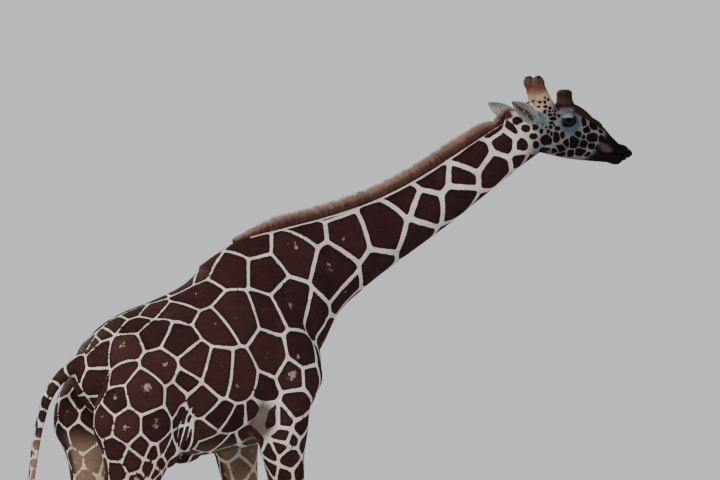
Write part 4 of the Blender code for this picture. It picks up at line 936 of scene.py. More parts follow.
def scattered(points, space, sizes, fixed, banned, chance):
    """Patch middles all over the skin: each keeps its size away from the others and from the fixed ones."""
    free = ~banned
    for centre in fixed:
        free &= lengths(space - space[centre]) > sizes[centre] * 0.75
    chosen = []
    for candidate in chance.permutation(len(points)):
        if free[candidate]:
            chosen.append(candidate)
            free &= lengths(space - space[candidate]) > sizes[candidate]
    return np.array(chosen)


def settled(space, seeds, weights, held, rounds):
    """Moves the seeds that aren't held to the middles of the parts of the skin nearest to them."""
    places = space[seeds].copy()
    for _ in range(rounds):
        owner = nearest_seeds(space, places, weights, 1)[0][:, 0]
        count = np.maximum(np.bincount(owner, minlength=len(places)), 1)
        sums = [np.bincount(owner, space[:, k], len(places)) for k in range(3)]
        places[held:] = (np.stack(sums, axis=1) / count[:, None])[held:]
    return places


def nearest_seeds(space, places, weights, count):
    """The seeds with the least squared distance less weight from each point, and that value."""
    owners, reaches = [], []
    level = np.sum(places**2, axis=1) - weights
    for start in range(0, len(space), CHUNK):
        part = space[start:start + CHUNK]
        square = np.sum(part**2, axis=1)[:, None] + level[None] - 2 * part @ places.T
        order = np.argpartition(square, count - 1, axis=1)[:, :count]
        reach = np.take_along_axis(square, order, axis=1)
        sort = np.argsort(reach, axis=1)
        owners.append(np.take_along_axis(order, sort, axis=1))
        reaches.append(np.take_along_axis(reach, sort, axis=1))
    return np.concatenate(owners), np.concatenate(reaches)


def level_head(local):
    """Points of the head's own frame turned level, as the photograph's pixels count them."""
    cosine, sine = math.cos(HEAD_PITCH), math.sin(HEAD_PITCH)
    along, aside, up = local.T
    return columns(cosine * along + sine * up, aside, cosine * up - sine * along)


def zone(local, centre, size, soft=0.5, tilt=0.0):
    """1 inside an oval on both sides of the head, in its frame along and up, and 0 past its soft rim."""
    along, up = local[:, 0] - centre[0], local[:, 2] - centre[1]
    cosine, sine = math.cos(tilt), math.sin(tilt)
    reach = np.hypot((along * cosine + up * sine) / size[0], (up * cosine - along * sine) / size[1])
    return smooth_step((1 + soft / 2 - reach) / soft)


class Markings:
    """The patches, flecks, spots and tints of the coat, as values for any point of the skin."""

    def __init__(self, points, normals):
        chance = np.random.default_rng(SEEDS["markings"])
        _, py, _ = picture_pixels(points)
        _, _, _, back = photograph_camera()
        toward = normals @ back
        side = body_places(points)[:, 1]
        local = to_head(points)
        shown = (toward > 0.05) & (py < LOWEST_ROW) & (side < 0.02) & (points[:, 2] > 1.75)
        listed = np.array(PATCH_PIXELS, float)
        facing = np.flatnonzero(toward > 0.05)
        fixed = facing[nearest_points(listed[:, :2], points[facing])]
        space, sizes = patch_space(points), patch_size(points)
        others = scattered(points, space, sizes, fixed, shown | (local[:, 0] > -0.02), chance)
        self.weights = np.concatenate([(listed[:, 2] / PIXELS_A_METRE) ** 2, (0.45 * sizes[others]) ** 2])
        self.seeds = settled(space, np.concatenate([fixed, others]), self.weights, len(fixed), 3)
        count = len(self.seeds)
        # Each patch has a random tone, and the tones darken towards the neck as painted shade.
        self.tint = chance.uniform(0, 1, count) * np.interp(self.seeds[:, 0], (-0.2, 1.2), (1.0, 0.1))
        flecked = chance.uniform(0, 1, count) < 0.5
        self.fleck_size = np.where(flecked, chance.uniform(0.02, 0.05, count), 0)
        self.fleck_size[: len(fixed)] = 0
        flecks = np.array(FLECK_PIXELS, float)
        self.flecks = points[facing[nearest_points(flecks[:, :2], points[facing])]]
        self.fleck_reach = flecks[:, 2] / PIXELS_A_METRE
        self.place_spots(points, local, toward, chance)

    def place_spots(self, points, local, toward, chance):
        """The photograph's spots on both sides, and small ones under the jaw and on the throat."""
        listed = np.array(SPOT_PIXELS, float)
        at = local[nearest_points(listed[:, :2], points, 2.0)]
        across = PIXELS_A_METRE * math.cos(VIEW_TURN - NECK_BEND)
        wide, tall = listed[:, 2] / across, listed[:, 3] / PIXELS_A_METRE
        sizes = columns(wide, 1.8 * np.maximum(wide, tall), tall)
        below = (toward < 0.02) & (local[:, 1] < 0.005) & (local[:, 2] < -0.08)
        below &= (local[:, 0] > 0.02) & (local[:, 0] < 0.54)
        more = scattered(points, local, np.full(len(local), SPOT_GAP), (), ~below, chance)
        more = more[np.min(np.linalg.norm(local[more][:, None] - at[None], axis=2), axis=1) > SPOT_GAP]
        small = np.tile(chance.uniform(0.0075, 0.0115, (len(more), 1)), (1, 3))
        at, sizes = np.concatenate([at, local[more]]), np.concatenate([sizes, small])
        at, sizes = np.concatenate([at, at * (1, -1, 1)]), np.concatenate([sizes, sizes])
        self.spots, self.spot_sizes = level_head(at), sizes
        sides = np.arange(SPOT_SIDES)[:, None] * (2 * math.pi / SPOT_SIDES)
        each = (SPOT_SIDES, len(at))
        self.spot_turns = sides + chance.uniform(-0.22, 0.22, each) + chance.uniform(0, 1, len(at))
        self.spot_slack = chance.uniform(0.9, 1.12, each)

    def patch_field(self, points):
        """Metres inside a patch's rim, and each point's patch and squared distance to that patch's middle."""
        space = patch_space(points)
        owners, square = nearest_seeds(space, self.seeds, self.weights, 8)
        own = self.seeds[owners[:, 0]]
        gap = np.linalg.norm(self.seeds[owners[:, 1:]] - own[:, None], axis=2)
        edge = (square[:, 1:] - square[:, :1]) / (2 * gap)
        soft = -np.log(np.sum(np.exp(-np.clip(edge, 0, 1) * CORNER_SHARPNESS), axis=1)) / CORNER_SHARPNESS
        patch = np.minimum(soft - line_width(points), self.crest_gap(points))
        # The crests of the flank's folds are painted pale as highlights.
        fold, place = fold_zones(points)[1]
        ridge = smooth_step((np.cos(place / FLANK_STEP) - 0.25) / 0.5)
        patch = patch - (patch + 0.006) * smooth_step(fold * 1.6) * ridge
        patch = patch - 0.035 * self.elbow_share(points)
        local = to_head(points)
        on_head = smooth_step((0.58 * local[:, 0] + 0.81 * local[:, 2] + 0.115) / 0.016)
        patch = patch - on_head * np.maximum(patch + 0.012, 0)
        first = owners[:, 0]
        return np.maximum(patch, self.spot_field(local)), first, square[:, 0] + self.weights[first]

    def elbow_share(self, points):
        """1 in the patchless zone behind the elbow, whose lines the hide paints grey as the shade in that
        crease.
        """
        return smooth_step(1.3 - lengths((points - ELBOW_MIDDLE) / ELBOW_SIZE))

    def crest_gap(self, points):
        """Positive beyond the pale line that runs along the mane's foot."""
        distance, left, height = body_places(points).T
        below = -above_crest(distance, height)
        beyond = np.maximum(MANE_START + 0.1 - distance, distance - MANE_END) * 0.5
        gap = np.interp(distance, (1.5, 1.75), (0.033, 0.019))
        return np.maximum(np.hypot(left, np.maximum(below, 0)) - gap, beyond)

    def spot_field(self, local):
        """Positive inside the spots, which are polygons with round corners, and parted by narrow lines."""
        field = np.full(len(local), -0.03)
        near = np.flatnonzero(local[:, 0] > -0.3)
        level = level_head(local)
        least = self.spot_sizes.min(axis=1)
        for start in range(0, len(near), CHUNK):
            part = near[start:start + CHUNK]
            away = (level[part][:, None] - self.spots[None]) / self.spot_sizes[None]
            total = 0
            for turn, slack in zip(self.spot_turns, self.spot_slack):
                beyond = (away[:, :, 0] * np.cos(turn) + away[:, :, 2] * np.sin(turn)) * slack
                total = total + np.exp(SPOT_CORNERS * np.minimum(beyond, 4))
            reach = (1 - np.hypot(np.log(total) / SPOT_CORNERS, away[:, :, 1])) * least[None]
            best = np.partition(reach, -2, axis=1)[:, -2:]
            line = np.interp(local[part, 0], (-0.12, 0.03, 0.15), (0.01, 0.005, 0.0022))
            field[part] = np.minimum(best[:, 1], (best[:, 1] - best[:, 0]) / 2 - line)
        return field

    def at(self, points, normals):
        """Every value that the hide's material reads, one a point."""
        patch, owners, square = self.patch_field(points)
        local = to_head(points)
        along, aside, up = local[:, 0], np.abs(local[:, 1]), local[:, 2]
        height = points[:, 2]
        # The inner faces of the legs turn pale orange-cream: painted light of a low sun. The lower legs and
        # the belly are paler for real.
        inner = smooth_step((-normals[:, 1] * np.sign(points[:, 1]) - 0.1) / 0.5)
        inner = inner * smooth_step((2.05 - height) / 0.15)
        underside = smooth_step((-normals[:, 2] - 0.7) / 0.25) * smooth_step((2.35 - height) / 0.15)
        pale = np.maximum(smooth_step((0.95 - height) / 0.6) * 0.7, 0.75 * inner)
        body = along < -0.3
        top = np.interp(along, *np.array(HEAD)[:, :2].T)
        pink = zone(local, (0.592, -0.046), (0.048, 0.022), 0.9, math.radians(-8))
        # A dark oval below and ahead of the eye: dark bare skin, widened with painted shade.
        wet = zone(local, (EYE_ALONG + 0.012, EYE_UP - 0.014), (0.053, 0.034), 0.3, math.radians(34))
        return {
            "patch": patch,
            "tint": self.tint[owners],
            "fleck": self.fleck_field(points, square, owners),
            # The muzzle's own dark hair, which the hide darkens further as painted shade.
            "muzzle": smooth_step((along - 0.535 - 0.4 * (up - 0.02)) / 0.055) * (along > 0.3),
            "band": smooth_step((up - top + 0.034) / 0.016) * smooth_step((along - 0.3) / 0.03),
            "pink": pink * (aside > 0.02),
            "wet": wet * (aside > 0.05),
            "pale": np.maximum(pale, 0.2 * underside) * body,
            # Where the lines are painted grey as the shade behind the elbow.
            "elbow": self.elbow_share(points),
            # Pale hair round the ear, which the hide paints blue-grey as shade.
            "white_in_shade": smooth_step((0.075 - lengths(folded(local) - EAR_MIDDLE)) / 0.03),
            "nape": self.nape_share(points),
            # Painted shade round the eyes, coloured dark blue-grey by the hide.
            "shade": zone(local, (0.305, 0.018), (0.072, 0.072), 0.6) * (aside > 0.04),
            "lips": bell(up - mouth_line(along), 0.006) * (along > MOUTH_CORNER),
            "horn": self.horn_share(local, "left", 0.075, 0.165, 0.085),
            # The middle ossicone's foot is painted dark: its dark front is real, the rest is painted shade.
            "crown": self.horn_share(local, "middle", 0.04, 0.062, 0.1),
            "face": smooth_step((along + 0.02) / 0.22),
            "leg": leg_nearness(points) * body,
        }

    def nape_share(self, points):
        """1 where the skin stands above the neck's own crest behind the ears, under the end of the mane."""
        distance, _, height = body_places(points).T
        above = smooth_step((above_crest(distance, height) - 0.012) / 0.012)
        return above * smooth_step((distance - 1.7) / 0.06) * smooth_step((1.9 - distance) / 0.02)

    def horn_share(self, local, name, start, end, reach):
        """From 0 at the foot of an ossicone to 1 where its own skin takes over."""
        *foot, lean = OSSICONES[name][0]
        axis = unit(ossicone_axis(foot[1], lean))
        away = folded(local) - foot
        height = away @ axis
        apart = lengths(away - height[:, None] * axis)
        return smooth_step((height - start) / (end - start)) * smooth_step((reach - apart) / 0.02)

    def fleck_field(self, points, square, owner):
        """1 at the middle of a pale fleck and 0 at its rim."""
        size = self.fleck_size[owner]
        field = np.where(size > 0, 1 - np.sqrt(np.maximum(square, 0)) / np.maximum(size, 1e-3), 0)
        for middle, reach in zip(self.flecks, self.fleck_reach):
            field = np.maximum(field, 1 - lengths(points - middle) / reach)
        return np.clip(field, 0, 1)


def point_outwards(mesh):
    work = bmesh.new()
    work.from_mesh(mesh)
    bmesh.ops.recalc_face_normals(work, faces=work.faces)
    work.to_mesh(mesh)
    work.free()


def set_attributes(mesh, values):
    for name, row in values.items():
        layer = mesh.attributes.new(name, "FLOAT", "POINT")
        layer.data.foreach_set("value", np.ascontiguousarray(row, np.float32))


def piece_from(name, mesh, material, slot, *nodes):
    """Puts a finished mesh into the scene as a piece that rides on the body."""
    mesh.name = name
    mesh.materials.clear()
    mesh.materials.append(material)
    mesh.polygons.foreach_set("use_smooth", np.ones(len(mesh.polygons), bool))
    mesh.transform(Matrix.Translation(Vector(WITHERS)))
    mesh.update()
    piece = put_in_scene(name, mesh)
    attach(piece, "root")
    if nodes:
        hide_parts(*nodes)
    return piece


def blade_mesh(name, root, first, last, length, width, rings, flat=0.5, values=None, bow=None):
    """Closed three-sided blades that narrow to a point.

    The middle line is root + length (first (s - s^2/2) + last s^2/2) for s from 0 to 1, so it sets off along
    first and ends along last, and may bow aside halfway.
    """
    count = len(root)
    step = np.linspace(0, 1, rings + 1)
    s = step[None, :, None]
    way = first[:, None] * (s - s * s / 2) + last[:, None] * s * s / 2
    line = root[:, None] + length[:, None, None] * way
    if bow is not None:
        line = line + bow[:, None] * np.sin(s * math.pi) ** 2
    run = unit(first[:, None] * (1 - s) + last[:, None] * s)
    turned = np.roll(first, 1, axis=1) * (1.0, -1.0, 1.0) + 0.01
    across = unit(np.cross(run, np.broadcast_to(turned[:, None], run.shape)))
    thick = np.cross(across, run)
    taper = (1 - 0.92 * step**2.2)[None, :, None] * width[:, None, None]
    corner = np.radians((90, 210, 330))
    thick = thick[:, :-1, None] * np.sin(corner)[:, None] * flat
    rim = line[:, :-1, None] + taper[:, :-1, None] * (across[:, :-1, None] * np.cos(corner)[:, None] + thick)
    points = np.concatenate([rim.reshape(count, -1, 3), line[:, -1:]], axis=1)
    each = rings * 3 + 1
    faces = [(0, 2, 1)]
    for low in range(rings * 3):
        after = low + 1 if low % 3 < 2 else low - 2
        high, beyond = min(low + 3, each - 1), min(after + 3, each - 1)
        faces += [(low, after, beyond)] + [(low, beyond, high)] * (high < each - 1)
    faces = np.array(faces)[None] + (np.arange(count) * each)[:, None, None]
    mesh = bpy.data.meshes.new(name)
    corners = faces.reshape(-1)
    mesh.vertices.add(count * each)
    mesh.vertices.foreach_set("co", points.astype(np.float32).ravel())
    mesh.loops.add(len(corners))
    mesh.loops.foreach_set("vertex_index", corners.astype(np.int32))
    mesh.polygons.add(len(corners) // 3)
    mesh.polygons.foreach_set("loop_start", np.arange(0, len(corners), 3, dtype=np.int32))
    mesh.update(calc_edges=True)
    share = np.append(np.repeat(step[:-1], 3), 1.0)
    turn = np.append(np.tile((0.0, 0.5, 1.0), rings), 0.5)
    spread = 0.003 * columns(turn, share)
    place = (unwrap(root)[:, None] + spread[None]).reshape(-1, 2)
    layer = mesh.uv_layers.new(name="OFBake")
    layer.data.foreach_set("uv", place[corners].astype(np.float32).ravel())
    made = {"along": np.tile(share, count)}
    for key, row in (values or {}).items():
        made[key] = np.repeat(row, each)
    set_attributes(mesh, made)
    return mesh


def hair_piece(name, material, slot, chance, root, ways, length, width, rings, nodes=(), bow=None):
    """A piece of blades, each with a tint of its own."""
    tint = chance.uniform(0, 1, len(root))
    mesh = blade_mesh(name, root, *ways, length, width, rings, values={"tint": tint}, bow=bow)
    piece_from(name, mesh, material, slot, *nodes)


def node(tree, kind, inputs=None, **settings):
    """Adds a shader node, sets it and links or fills its inputs."""
    made = tree.nodes.new(kind)
    for key, value in settings.items():
        setattr(made, key, value)
    for key, value in (inputs or {}).items():
        if isinstance(value, bpy.types.NodeSocket):
            tree.links.new(value, made.inputs[key])
        else:
            made.inputs[key].default_value = value
    return made


def attribute(tree, name):
    return node(tree, "ShaderNodeAttribute", attribute_name=name).outputs["Fac"]


def maths(tree, operation, first, second=0.5, third=0.5):
    return node(tree, "ShaderNodeMath", {0: first, 1: second, 2: third}, operation=operation).outputs[0]


def ramped(tree, value, low, high, start=0.0, end=1.0):
    """Runs smoothly from start to end as the value goes from low to high."""
    inputs = {"Value": value, "From Min": low, "From Max": high, "To Min": start, "To Max": end}
    return node(tree, "ShaderNodeMapRange", inputs, interpolation_type="SMOOTHSTEP").outputs["Result"]


def blended(tree, share, first, second, blend="MIX"):
    made = node(tree, "ShaderNodeMix", {0: share}, data_type="RGBA", blend_type=blend)
    for socket, value in ((made.inputs[6], first), (made.inputs[7], second)):
        if isinstance(value, bpy.types.NodeSocket):
            tree.links.new(value, socket)
        else:
            socket.default_value = (*value, 1) if len(value) == 3 else value
    return made.outputs[2]


def noise(tree, vector, scale, detail=3.0, roughness=0.55):
    inputs = {"Vector": vector, "Scale": scale, "Detail": detail, "Roughness": roughness}
    return node(tree, "ShaderNodeTexNoise", inputs).outputs["Fac"]


def hair_group():
    """Shader group: fine hair that lies along one axis, as a height and a tone."""
    group = bpy.data.node_groups.get("lying_hair")
    if group:
        return group
    group = bpy.data.node_groups.new("lying_hair", "ShaderNodeTree")
    group.interface.new_socket("Vector", in_out="INPUT", socket_type="NodeSocketVector")
    for name, way in (("Fineness", "INPUT"), ("Height", "OUTPUT"), ("Tone", "OUTPUT")):
        group.interface.new_socket(name, in_out=way, socket_type="NodeSocketFloat")
    start, end = node(group, "NodeGroupInput"), node(group, "NodeGroupOutput")
    along = node(group, "ShaderNodeMapping", {"Vector": start.outputs["Vector"], "Scale": (0.16, 1.0, 0.9)})
    strands = noise(group, along.outputs[0], start.outputs["Fineness"], 4.0, 0.6)
    clumps = noise(group, along.outputs[0], 34.0, 3.0, 0.6)
    height = maths(group, "MULTIPLY_ADD", clumps, 0.6, strands)
    group.links.new(height, end.inputs["Height"])
    tone = ramped(group, height, 0.45, 1.15)
    group.links.new(tone, end.inputs["Tone"])
    return group


def new_material(name):
    material = bpy.data.materials.new(name)
    material.use_nodes = True
    return material, material.node_tree


def object_place(tree):
    return node(tree, "ShaderNodeTexCoord").outputs["Object"]


def lying_hair(tree, place, fineness):
    """The shared group of lying hair, placed in a material."""
    inputs = {"Vector": place, "Fineness": fineness}
    return node(tree, "ShaderNodeGroup", inputs, node_tree=hair_group()).outputs


def toned(tree, colour, tone):
    """The colour times a grey of this tone."""
    grey = node(tree, "ShaderNodeCombineColor", {0: tone, 1: tone, 2: tone}).outputs[0]
    return blended(tree, 1.0, colour, grey, "MULTIPLY")


def layered(tree, colour, layers):
    """Lays colours over one another, each as far as its share, or the attribute of that name, says."""
    for share, above in layers:
        share = attribute(tree, share) if isinstance(share, str) else share
        colour = blended(tree, share, colour, above)
    return colour


def finish(tree, colour, roughness, specular, height=None, strength=0.5, depth=0.0015):
    """Gives the material's shader its colour, roughness, mirrored light and, from a height, its bumps."""
    shader = tree.nodes["Principled BSDF"]
    tree.links.new(colour, shader.inputs["Base Color"])
    tree.links.new(roughness, shader.inputs["Roughness"])
    shader.inputs["Specular IOR Level"].default_value = specular
    if height is not None:
        bump = node(tree, "ShaderNodeBump", {"Height": height, "Strength": strength, "Distance": depth})
        tree.links.new(bump.outputs[0], shader.inputs["Normal"])
    return shader


def coat_material(name, colours, on_tufts=False):
    """Liver-brown patches with ragged rims, cream lines, a dark muzzle, paler legs and fine lying hair.
    Painted shade darkens the face, the muzzle, the hair round ears and eyes, the elbow's crease, the middle
    ossicone and the neck's patches; painted light pales the inner legs and the crests of the flank's folds.
    """
    material, tree = new_material(name)
    place = object_place(tree)
    hair = lying_hair(tree, place, 260.0)
    face, horn = attribute(tree, "face"), attribute(tree, "horn")
    wander = maths(tree, "MULTIPLY_ADD", noise(tree, place, 16.0, 2.0), 0.012, -0.006)
    ragged = maths(tree, "MULTIPLY_ADD", noise(tree, place, 130.0, 2.0), 0.005, -0.0025)
    calm = ramped(tree, face, 0.0, 1.0, 1.0, 0.22)
    field = maths(tree, "MULTIPLY_ADD", maths(tree, "ADD", wander, ragged), calm, attribute(tree, "patch"))
    flecks = maths(tree, "MULTIPLY_ADD", noise(tree, place, 46.0, 3.0, 0.7), 2.0, -1.35)
    flecks = maths(tree, "ADD", attribute(tree, "fleck"), flecks)
    brown = layered(tree, colours.patch_dark, (
        ("tint", colours.patch_light),
        (ramped(tree, noise(tree, place, 9.0, 4.0), 0.4, 0.75, 0.0, 0.5), colours.patch_light),
        (ramped(tree, field, 0.0, 0.03, 0.45, 0.0), colours.patch_rim),
        (ramped(tree, flecks, 0.1, 0.22, 0.0, 0.7), colours.fleck),
        # Spots of the face: their own dark brown, darkened further as painted shade over the head.
        (ramped(tree, face, 0.35, 0.95), colours.shaded_face_spot),
        # Faded patches on the belly and lower legs, and painted low sunlight on the inner faces of the legs.
        ("pale", colours.faded),
    ))
    line = layered(tree, colours.line, (
        (ramped(tree, noise(tree, place, 5.0, 3.0), 0.3, 0.7), colours.line_shade),
        ("leg", colours.leg),
        # Lines of the face: cream painted grey as the shade over the head.
        (ramped(tree, face, 0.15, 0.95), colours.face),
        # Lines behind the elbow painted grey as the shade in that crease.
        (ramped(tree, attribute(tree, "elbow"), 0.0, 0.6), colours.elbow),
        # Pale hair round the ears, painted blue-grey as shade.
        ("white_in_shade", colours.white_in_shade),
        ("shade", colours.eye_skin),
        (ramped(tree, horn, 0.0, 0.45), colours.horn_foot),
        (ramped(tree, horn, 0.6, 1.6), colours.horn),
    ))
    muzzle = ramped(tree, noise(tree, place, 40.0, 4.0), 0.3, 0.7)
    coat = layered(tree, line, (
        (ramped(tree, field, -0.0012, 0.0016), brown),
        # The middle ossicone's foot: real dark front, and painted shade on the rest.
        ("crown", colours.horn_dark),
        # Dark bare skin round the eye, widened with painted shade.
        ("wet", colours.bare),
        ("nape", colours.mane_root),
        ("band", colours.nose),
        # The muzzle's own dark hair, made darker still as painted shade.
        ("muzzle", blended(tree, muzzle, colours.muzzle, colours.muzzle_light)),
        ("pink", colours.lip),
        ("lips", colours.bare),
    ))
    coat = toned(tree, coat, ramped(tree, hair["Tone"], 0.0, 1.0, 0.8, 1.16))
    roughness = ramped(tree, hair["Height"], 0.4, 1.2, 0.8, 0.62)
    finish(tree, coat, roughness, 0.05, None if on_tufts else hair["Height"], 0.4, 0.0016)
    return material


def hair_material(name, root, middle, tip, roughness=0.5):
    """Hair whose colour runs from root to tip, and differs a little from tuft to tuft."""
    material, tree = new_material(name)
    along, own = attribute(tree, "along"), attribute(tree, "tint")
    colour = layered(tree, root, (
        (ramped(tree, along, 0.0, 0.5), middle),
        (ramped(tree, along, 0.45, 1.0), tip),
    ))
    drift = ramped(tree, noise(tree, object_place(tree), 6.0), 0.3, 0.7, -0.12, 0.12)
    colour = toned(tree, colour, maths(tree, "ADD", ramped(tree, own, 0.0, 1.0, 0.72, 1.18), drift))
    finish(tree, colour, ramped(tree, own, 0.0, 1.0, roughness + 0.1, roughness - 0.08), 0.15)
    return material


def ossicone_material(name, low, middle, colours):
    """Short hair whose colour runs from low to middle up the stem, with spots, under a smooth knob."""
    material, tree = new_material(name)
    place = object_place(tree)
    hair = lying_hair(tree, place, 300.0)
    ragged = maths(tree, "MULTIPLY_ADD", noise(tree, place, 60.0), 0.3, -0.15)
    ragged = maths(tree, "ADD", attribute(tree, "along"), ragged)
    colour = layered(tree, low, (
        (ramped(tree, ragged, -0.05, 0.55), middle),
        (ramped(tree, attribute(tree, "patch"), -0.001, 0.001), colours.horn_dark),
        (ramped(tree, ragged, 0.55, 0.95), colours.horn_dark),
    ))
    colour = toned(tree, colour, ramped(tree, hair["Tone"], 0.0, 1.0, 0.75, 1.2))
    finish(tree, colour, ramped(tree, ragged, 0.5, 0.9, 0.68, 0.42), 0.15, hair["Height"], 0.5, 0.002)
    return material


def eye_material(colours):
    """A very dark brown eye with a level oval pupil under a clear, wet coat."""
    material, tree = new_material("wet_eye")
    gaze = node(tree, "ShaderNodeAttribute", attribute_name="gaze").outputs["Vector"]
    level, tall, out = node(tree, "ShaderNodeSeparateXYZ", {0: gaze}).outputs
    shares = [maths(tree, "DIVIDE", way, half) for way, half in ((level, 0.42), (tall, 0.24))]
    squares = [maths(tree, "POWER", maths(tree, "ABSOLUTE", share), 2.0) for share in shares]
    pupil = maths(tree, "ADD", *squares)
    streaks = noise(tree, gaze, 14.0, 4.0)
    iris = blended(tree, ramped(tree, streaks, 0.3, 0.7), colours.eye, colours.eye_light)
    colour = blended(tree, ramped(tree, pupil, 0.8, 1.2), PUPIL_COLOUR, iris)
    colour = blended(tree, ramped(tree, out, 0.62, 0.45), colour, colours.eye_white)
    shader = finish(tree, colour, ramped(tree, streaks, 0.0, 1.0, 0.16, 0.1), 0.02)
    shader.inputs["Coat Weight"].default_value = 0.06
    shader.inputs["Coat Roughness"].default_value = 0.02
    return material


def lid_material(colours):
    """Pale blue-grey upper lid, a painted highlight of light from above, with fine folds, dark at the wet rim
    and round the lower lid.
    """
    material, tree = new_material("lid_skin")
    rim = attribute(tree, "rim")
    fine = noise(tree, object_place(tree), 180.0, 4.0)
    # The lid's pale blue-grey base is a painted highlight.
    colour = layered(tree, colours.lid, (
        # Fine blotches of the painted blue-grey shade colour over the lid.
        (ramped(tree, fine, 0.3, 0.7), colours.white_in_shade),
        ("lower", colours.bare),
        (ramped(tree, rim, 0.7, 0.9), colours.bare),
    ))
    finish(tree, colour, ramped(tree, rim, 0.3, 0.9, 0.65, 0.32), 0.25, fine, 0.5, 0.001)
    return material


def hoof_material(colours):
    """Horn with growth rings, fine upright lines, and a scuffed, dusty lower rim."""
    material, tree = new_material("hoof_horn")
    place = object_place(tree)
    along = attribute(tree, "along")
    low = node(tree, "ShaderNodeMapping", {"Vector": place, "Scale": (1.0, 1.0, 0.12)})
    lines = noise(tree, low.outputs[0], 190.0, 4.0)
    wander = maths(tree, "MULTIPLY", noise(tree, place, 12.0), 5.0)
    rings = maths(tree, "SINE", maths(tree, "MULTIPLY_ADD", along, 52.0, wander))
    dust = maths(tree, "ADD", along, maths(tree, "MULTIPLY", noise(tree, place, 26.0), 0.5))
    colour = layered(tree, colours.hoof, (
        (ramped(tree, along, 0.0, 1.0), colours.hoof_top),
        (ramped(tree, lines, 0.35, 0.75, 0.0, 0.6), colours.hoof_top),
        (ramped(tree, dust, 0.42, 0.18, 0.0, 0.75), colours.dust),
    ))
    height = maths(tree, "MULTIPLY_ADD", rings, 0.35, lines)
    finish(tree, colour, ramped(tree, dust, 0.2, 0.7, 0.8, 0.42), 0.5, height, 0.5, 0.0014)
    return material


def ear_material(colours):
    """Grey-tan hair outside with blotches of painted blue-grey shade, a brown bare hollow with painted shade
    deep inside.
    """
    material, tree = new_material("ear_hide")
    place = object_place(tree)
    hair = lying_hair(tree, place, 280.0)
    inside = attribute(tree, "inside")
    depth = maths(tree, "MULTIPLY_ADD", noise(tree, place, 55.0), 0.9, inside)
    colour = layered(tree, colours.ear_outside, (
        # Blotches of painted blue-grey shade on the back of the ear.
        (ramped(tree, noise(tree, place, 24.0), 0.3, 0.7), colours.white_in_shade),
        (ramped(tree, inside, 0.0, 0.5), colours.ear_inside),
        # Painted shade deep in the ear's hollow.
        (ramped(tree, depth, 1.3, 1.55), colours.ear_hollow_shade),
    ))
    colour = toned(tree, colour, ramped(tree, hair["Tone"], 0.0, 1.0, 0.82, 1.12))
    roughness = ramped(tree, hair["Height"], 0.4, 1.2, 0.75, 0.6)
    finish(tree, colour, roughness, 0.12, hair["Height"], 0.4, 0.0015)
    return material


def crest_top(points):
    """Steps along the neck and the height of the skin's ridge there: the highest points, evened out."""
    distance, left, height = body_places(points).T
    steps = np.arange(MANE_START - 0.06, MANE_END + 0.08, CREST_STEP)
    near = (np.abs(left) < 0.022) & (distance > steps[0]) & (distance < steps[-1]) & (height > 2.9)
    place = np.round((distance[near] - steps[0]) / CREST_STEP).astype(int)
    top = np.zeros(len(steps))
    np.maximum.at(top, place, height[near])
    filled = top > 0
    top = np.interp(steps, steps[filled], top[filled])
    top[1:-1] = (top[:-2] + 2 * top[1:-1] + top[2:]) / 4
    return steps, top


def crest_frame(distance, crest_at, crest):
    """The crest's point, forward direction, outward direction and side direction at distances along it."""
    point = on_neck(distance, np.interp(distance, crest_at, crest))
    further = distance + CREST_STEP
    forward = unit(on_neck(further, np.interp(further, crest_at, crest)) - point)
    side = leftward(neck_plan(distance)[2])
    return point, forward, np.cross(forward, side), side


def mane_height(distance, full):
    """The mane stands lower at the withers and sinks towards the poll."""
    rise = smooth_step((distance - MANE_START) / 0.35)
    fall = np.interp(distance, (1.6, 1.74, 1.8, 1.85, MANE_END), (1.0, 0.9, 0.6, 0.36, 0.12))
    return full * (0.35 + 0.65 * rise) * fall


def ear_rings(sign, around=26, along=44):
    """A leaf-shaped cup: crescent sections, wide in the middle and pointed, and a tube at the root."""
    root, tip = np.array(EAR_ROOT) * (1, sign, 1), np.array(EAR_TIP) * (1, sign, 1)
    axis = unit(tip - root)
    length = np.linalg.norm(tip - root)
    opening = np.array([0.25, sign * 0.92, -0.1])
    opening = unit(opening - axis * (opening @ axis))
    across = np.cross(axis, opening)
    share, _, _, width, curl, wall = eased(EAR_TABLE, along).T
    width, curl, wall = width * EAR_WIDTH, curl * EAR_CURL, wall * 0.001
    radius = width / np.sin(np.minimum(curl, math.pi / 2))
    arc = np.linspace(-1, 1, around)
    angle = arc[None] * curl[:, None]
    inner = radius[:, None] - wall[:, None] * np.cos(arc * math.pi / 2)[None] ** 0.35
    inner = np.maximum(inner, radius[:, None] * 0.1)
    middle = root + axis * (length * share)[:, None] + opening * (radius * np.cos(curl * 0.5))[:, None]
    ripple = 0.0016 * np.sin(share * 34)[:, None] * np.abs(arc)[None] ** 4
    rings = []
    for reach, some in ((radius[:, None] + 0 * angle, angle), (inner[:, ::-1], angle[:, ::-1])):
        depth, spread = -np.cos(some) * reach + ripple, np.sin(some) * reach
        rings.append(middle[:, None] + opening * depth[..., None] + across * spread[..., None])
    return np.concatenate([rings[0], rings[1][:, 1:-1]], axis=1), share, opening, axis


def length_property(name, description, default):
    return bpy.props.FloatProperty(name=name, description=description, default=default, unit="LENGTH")


def count_property(name, description, default):
    return bpy.props.IntProperty(name=name, description=description, default=default)


def colour_property(name, description, default):
    settings = {"name": name, "description": description, "default": default}
    return bpy.props.FloatVectorProperty(subtype="COLOR", size=3, **settings)


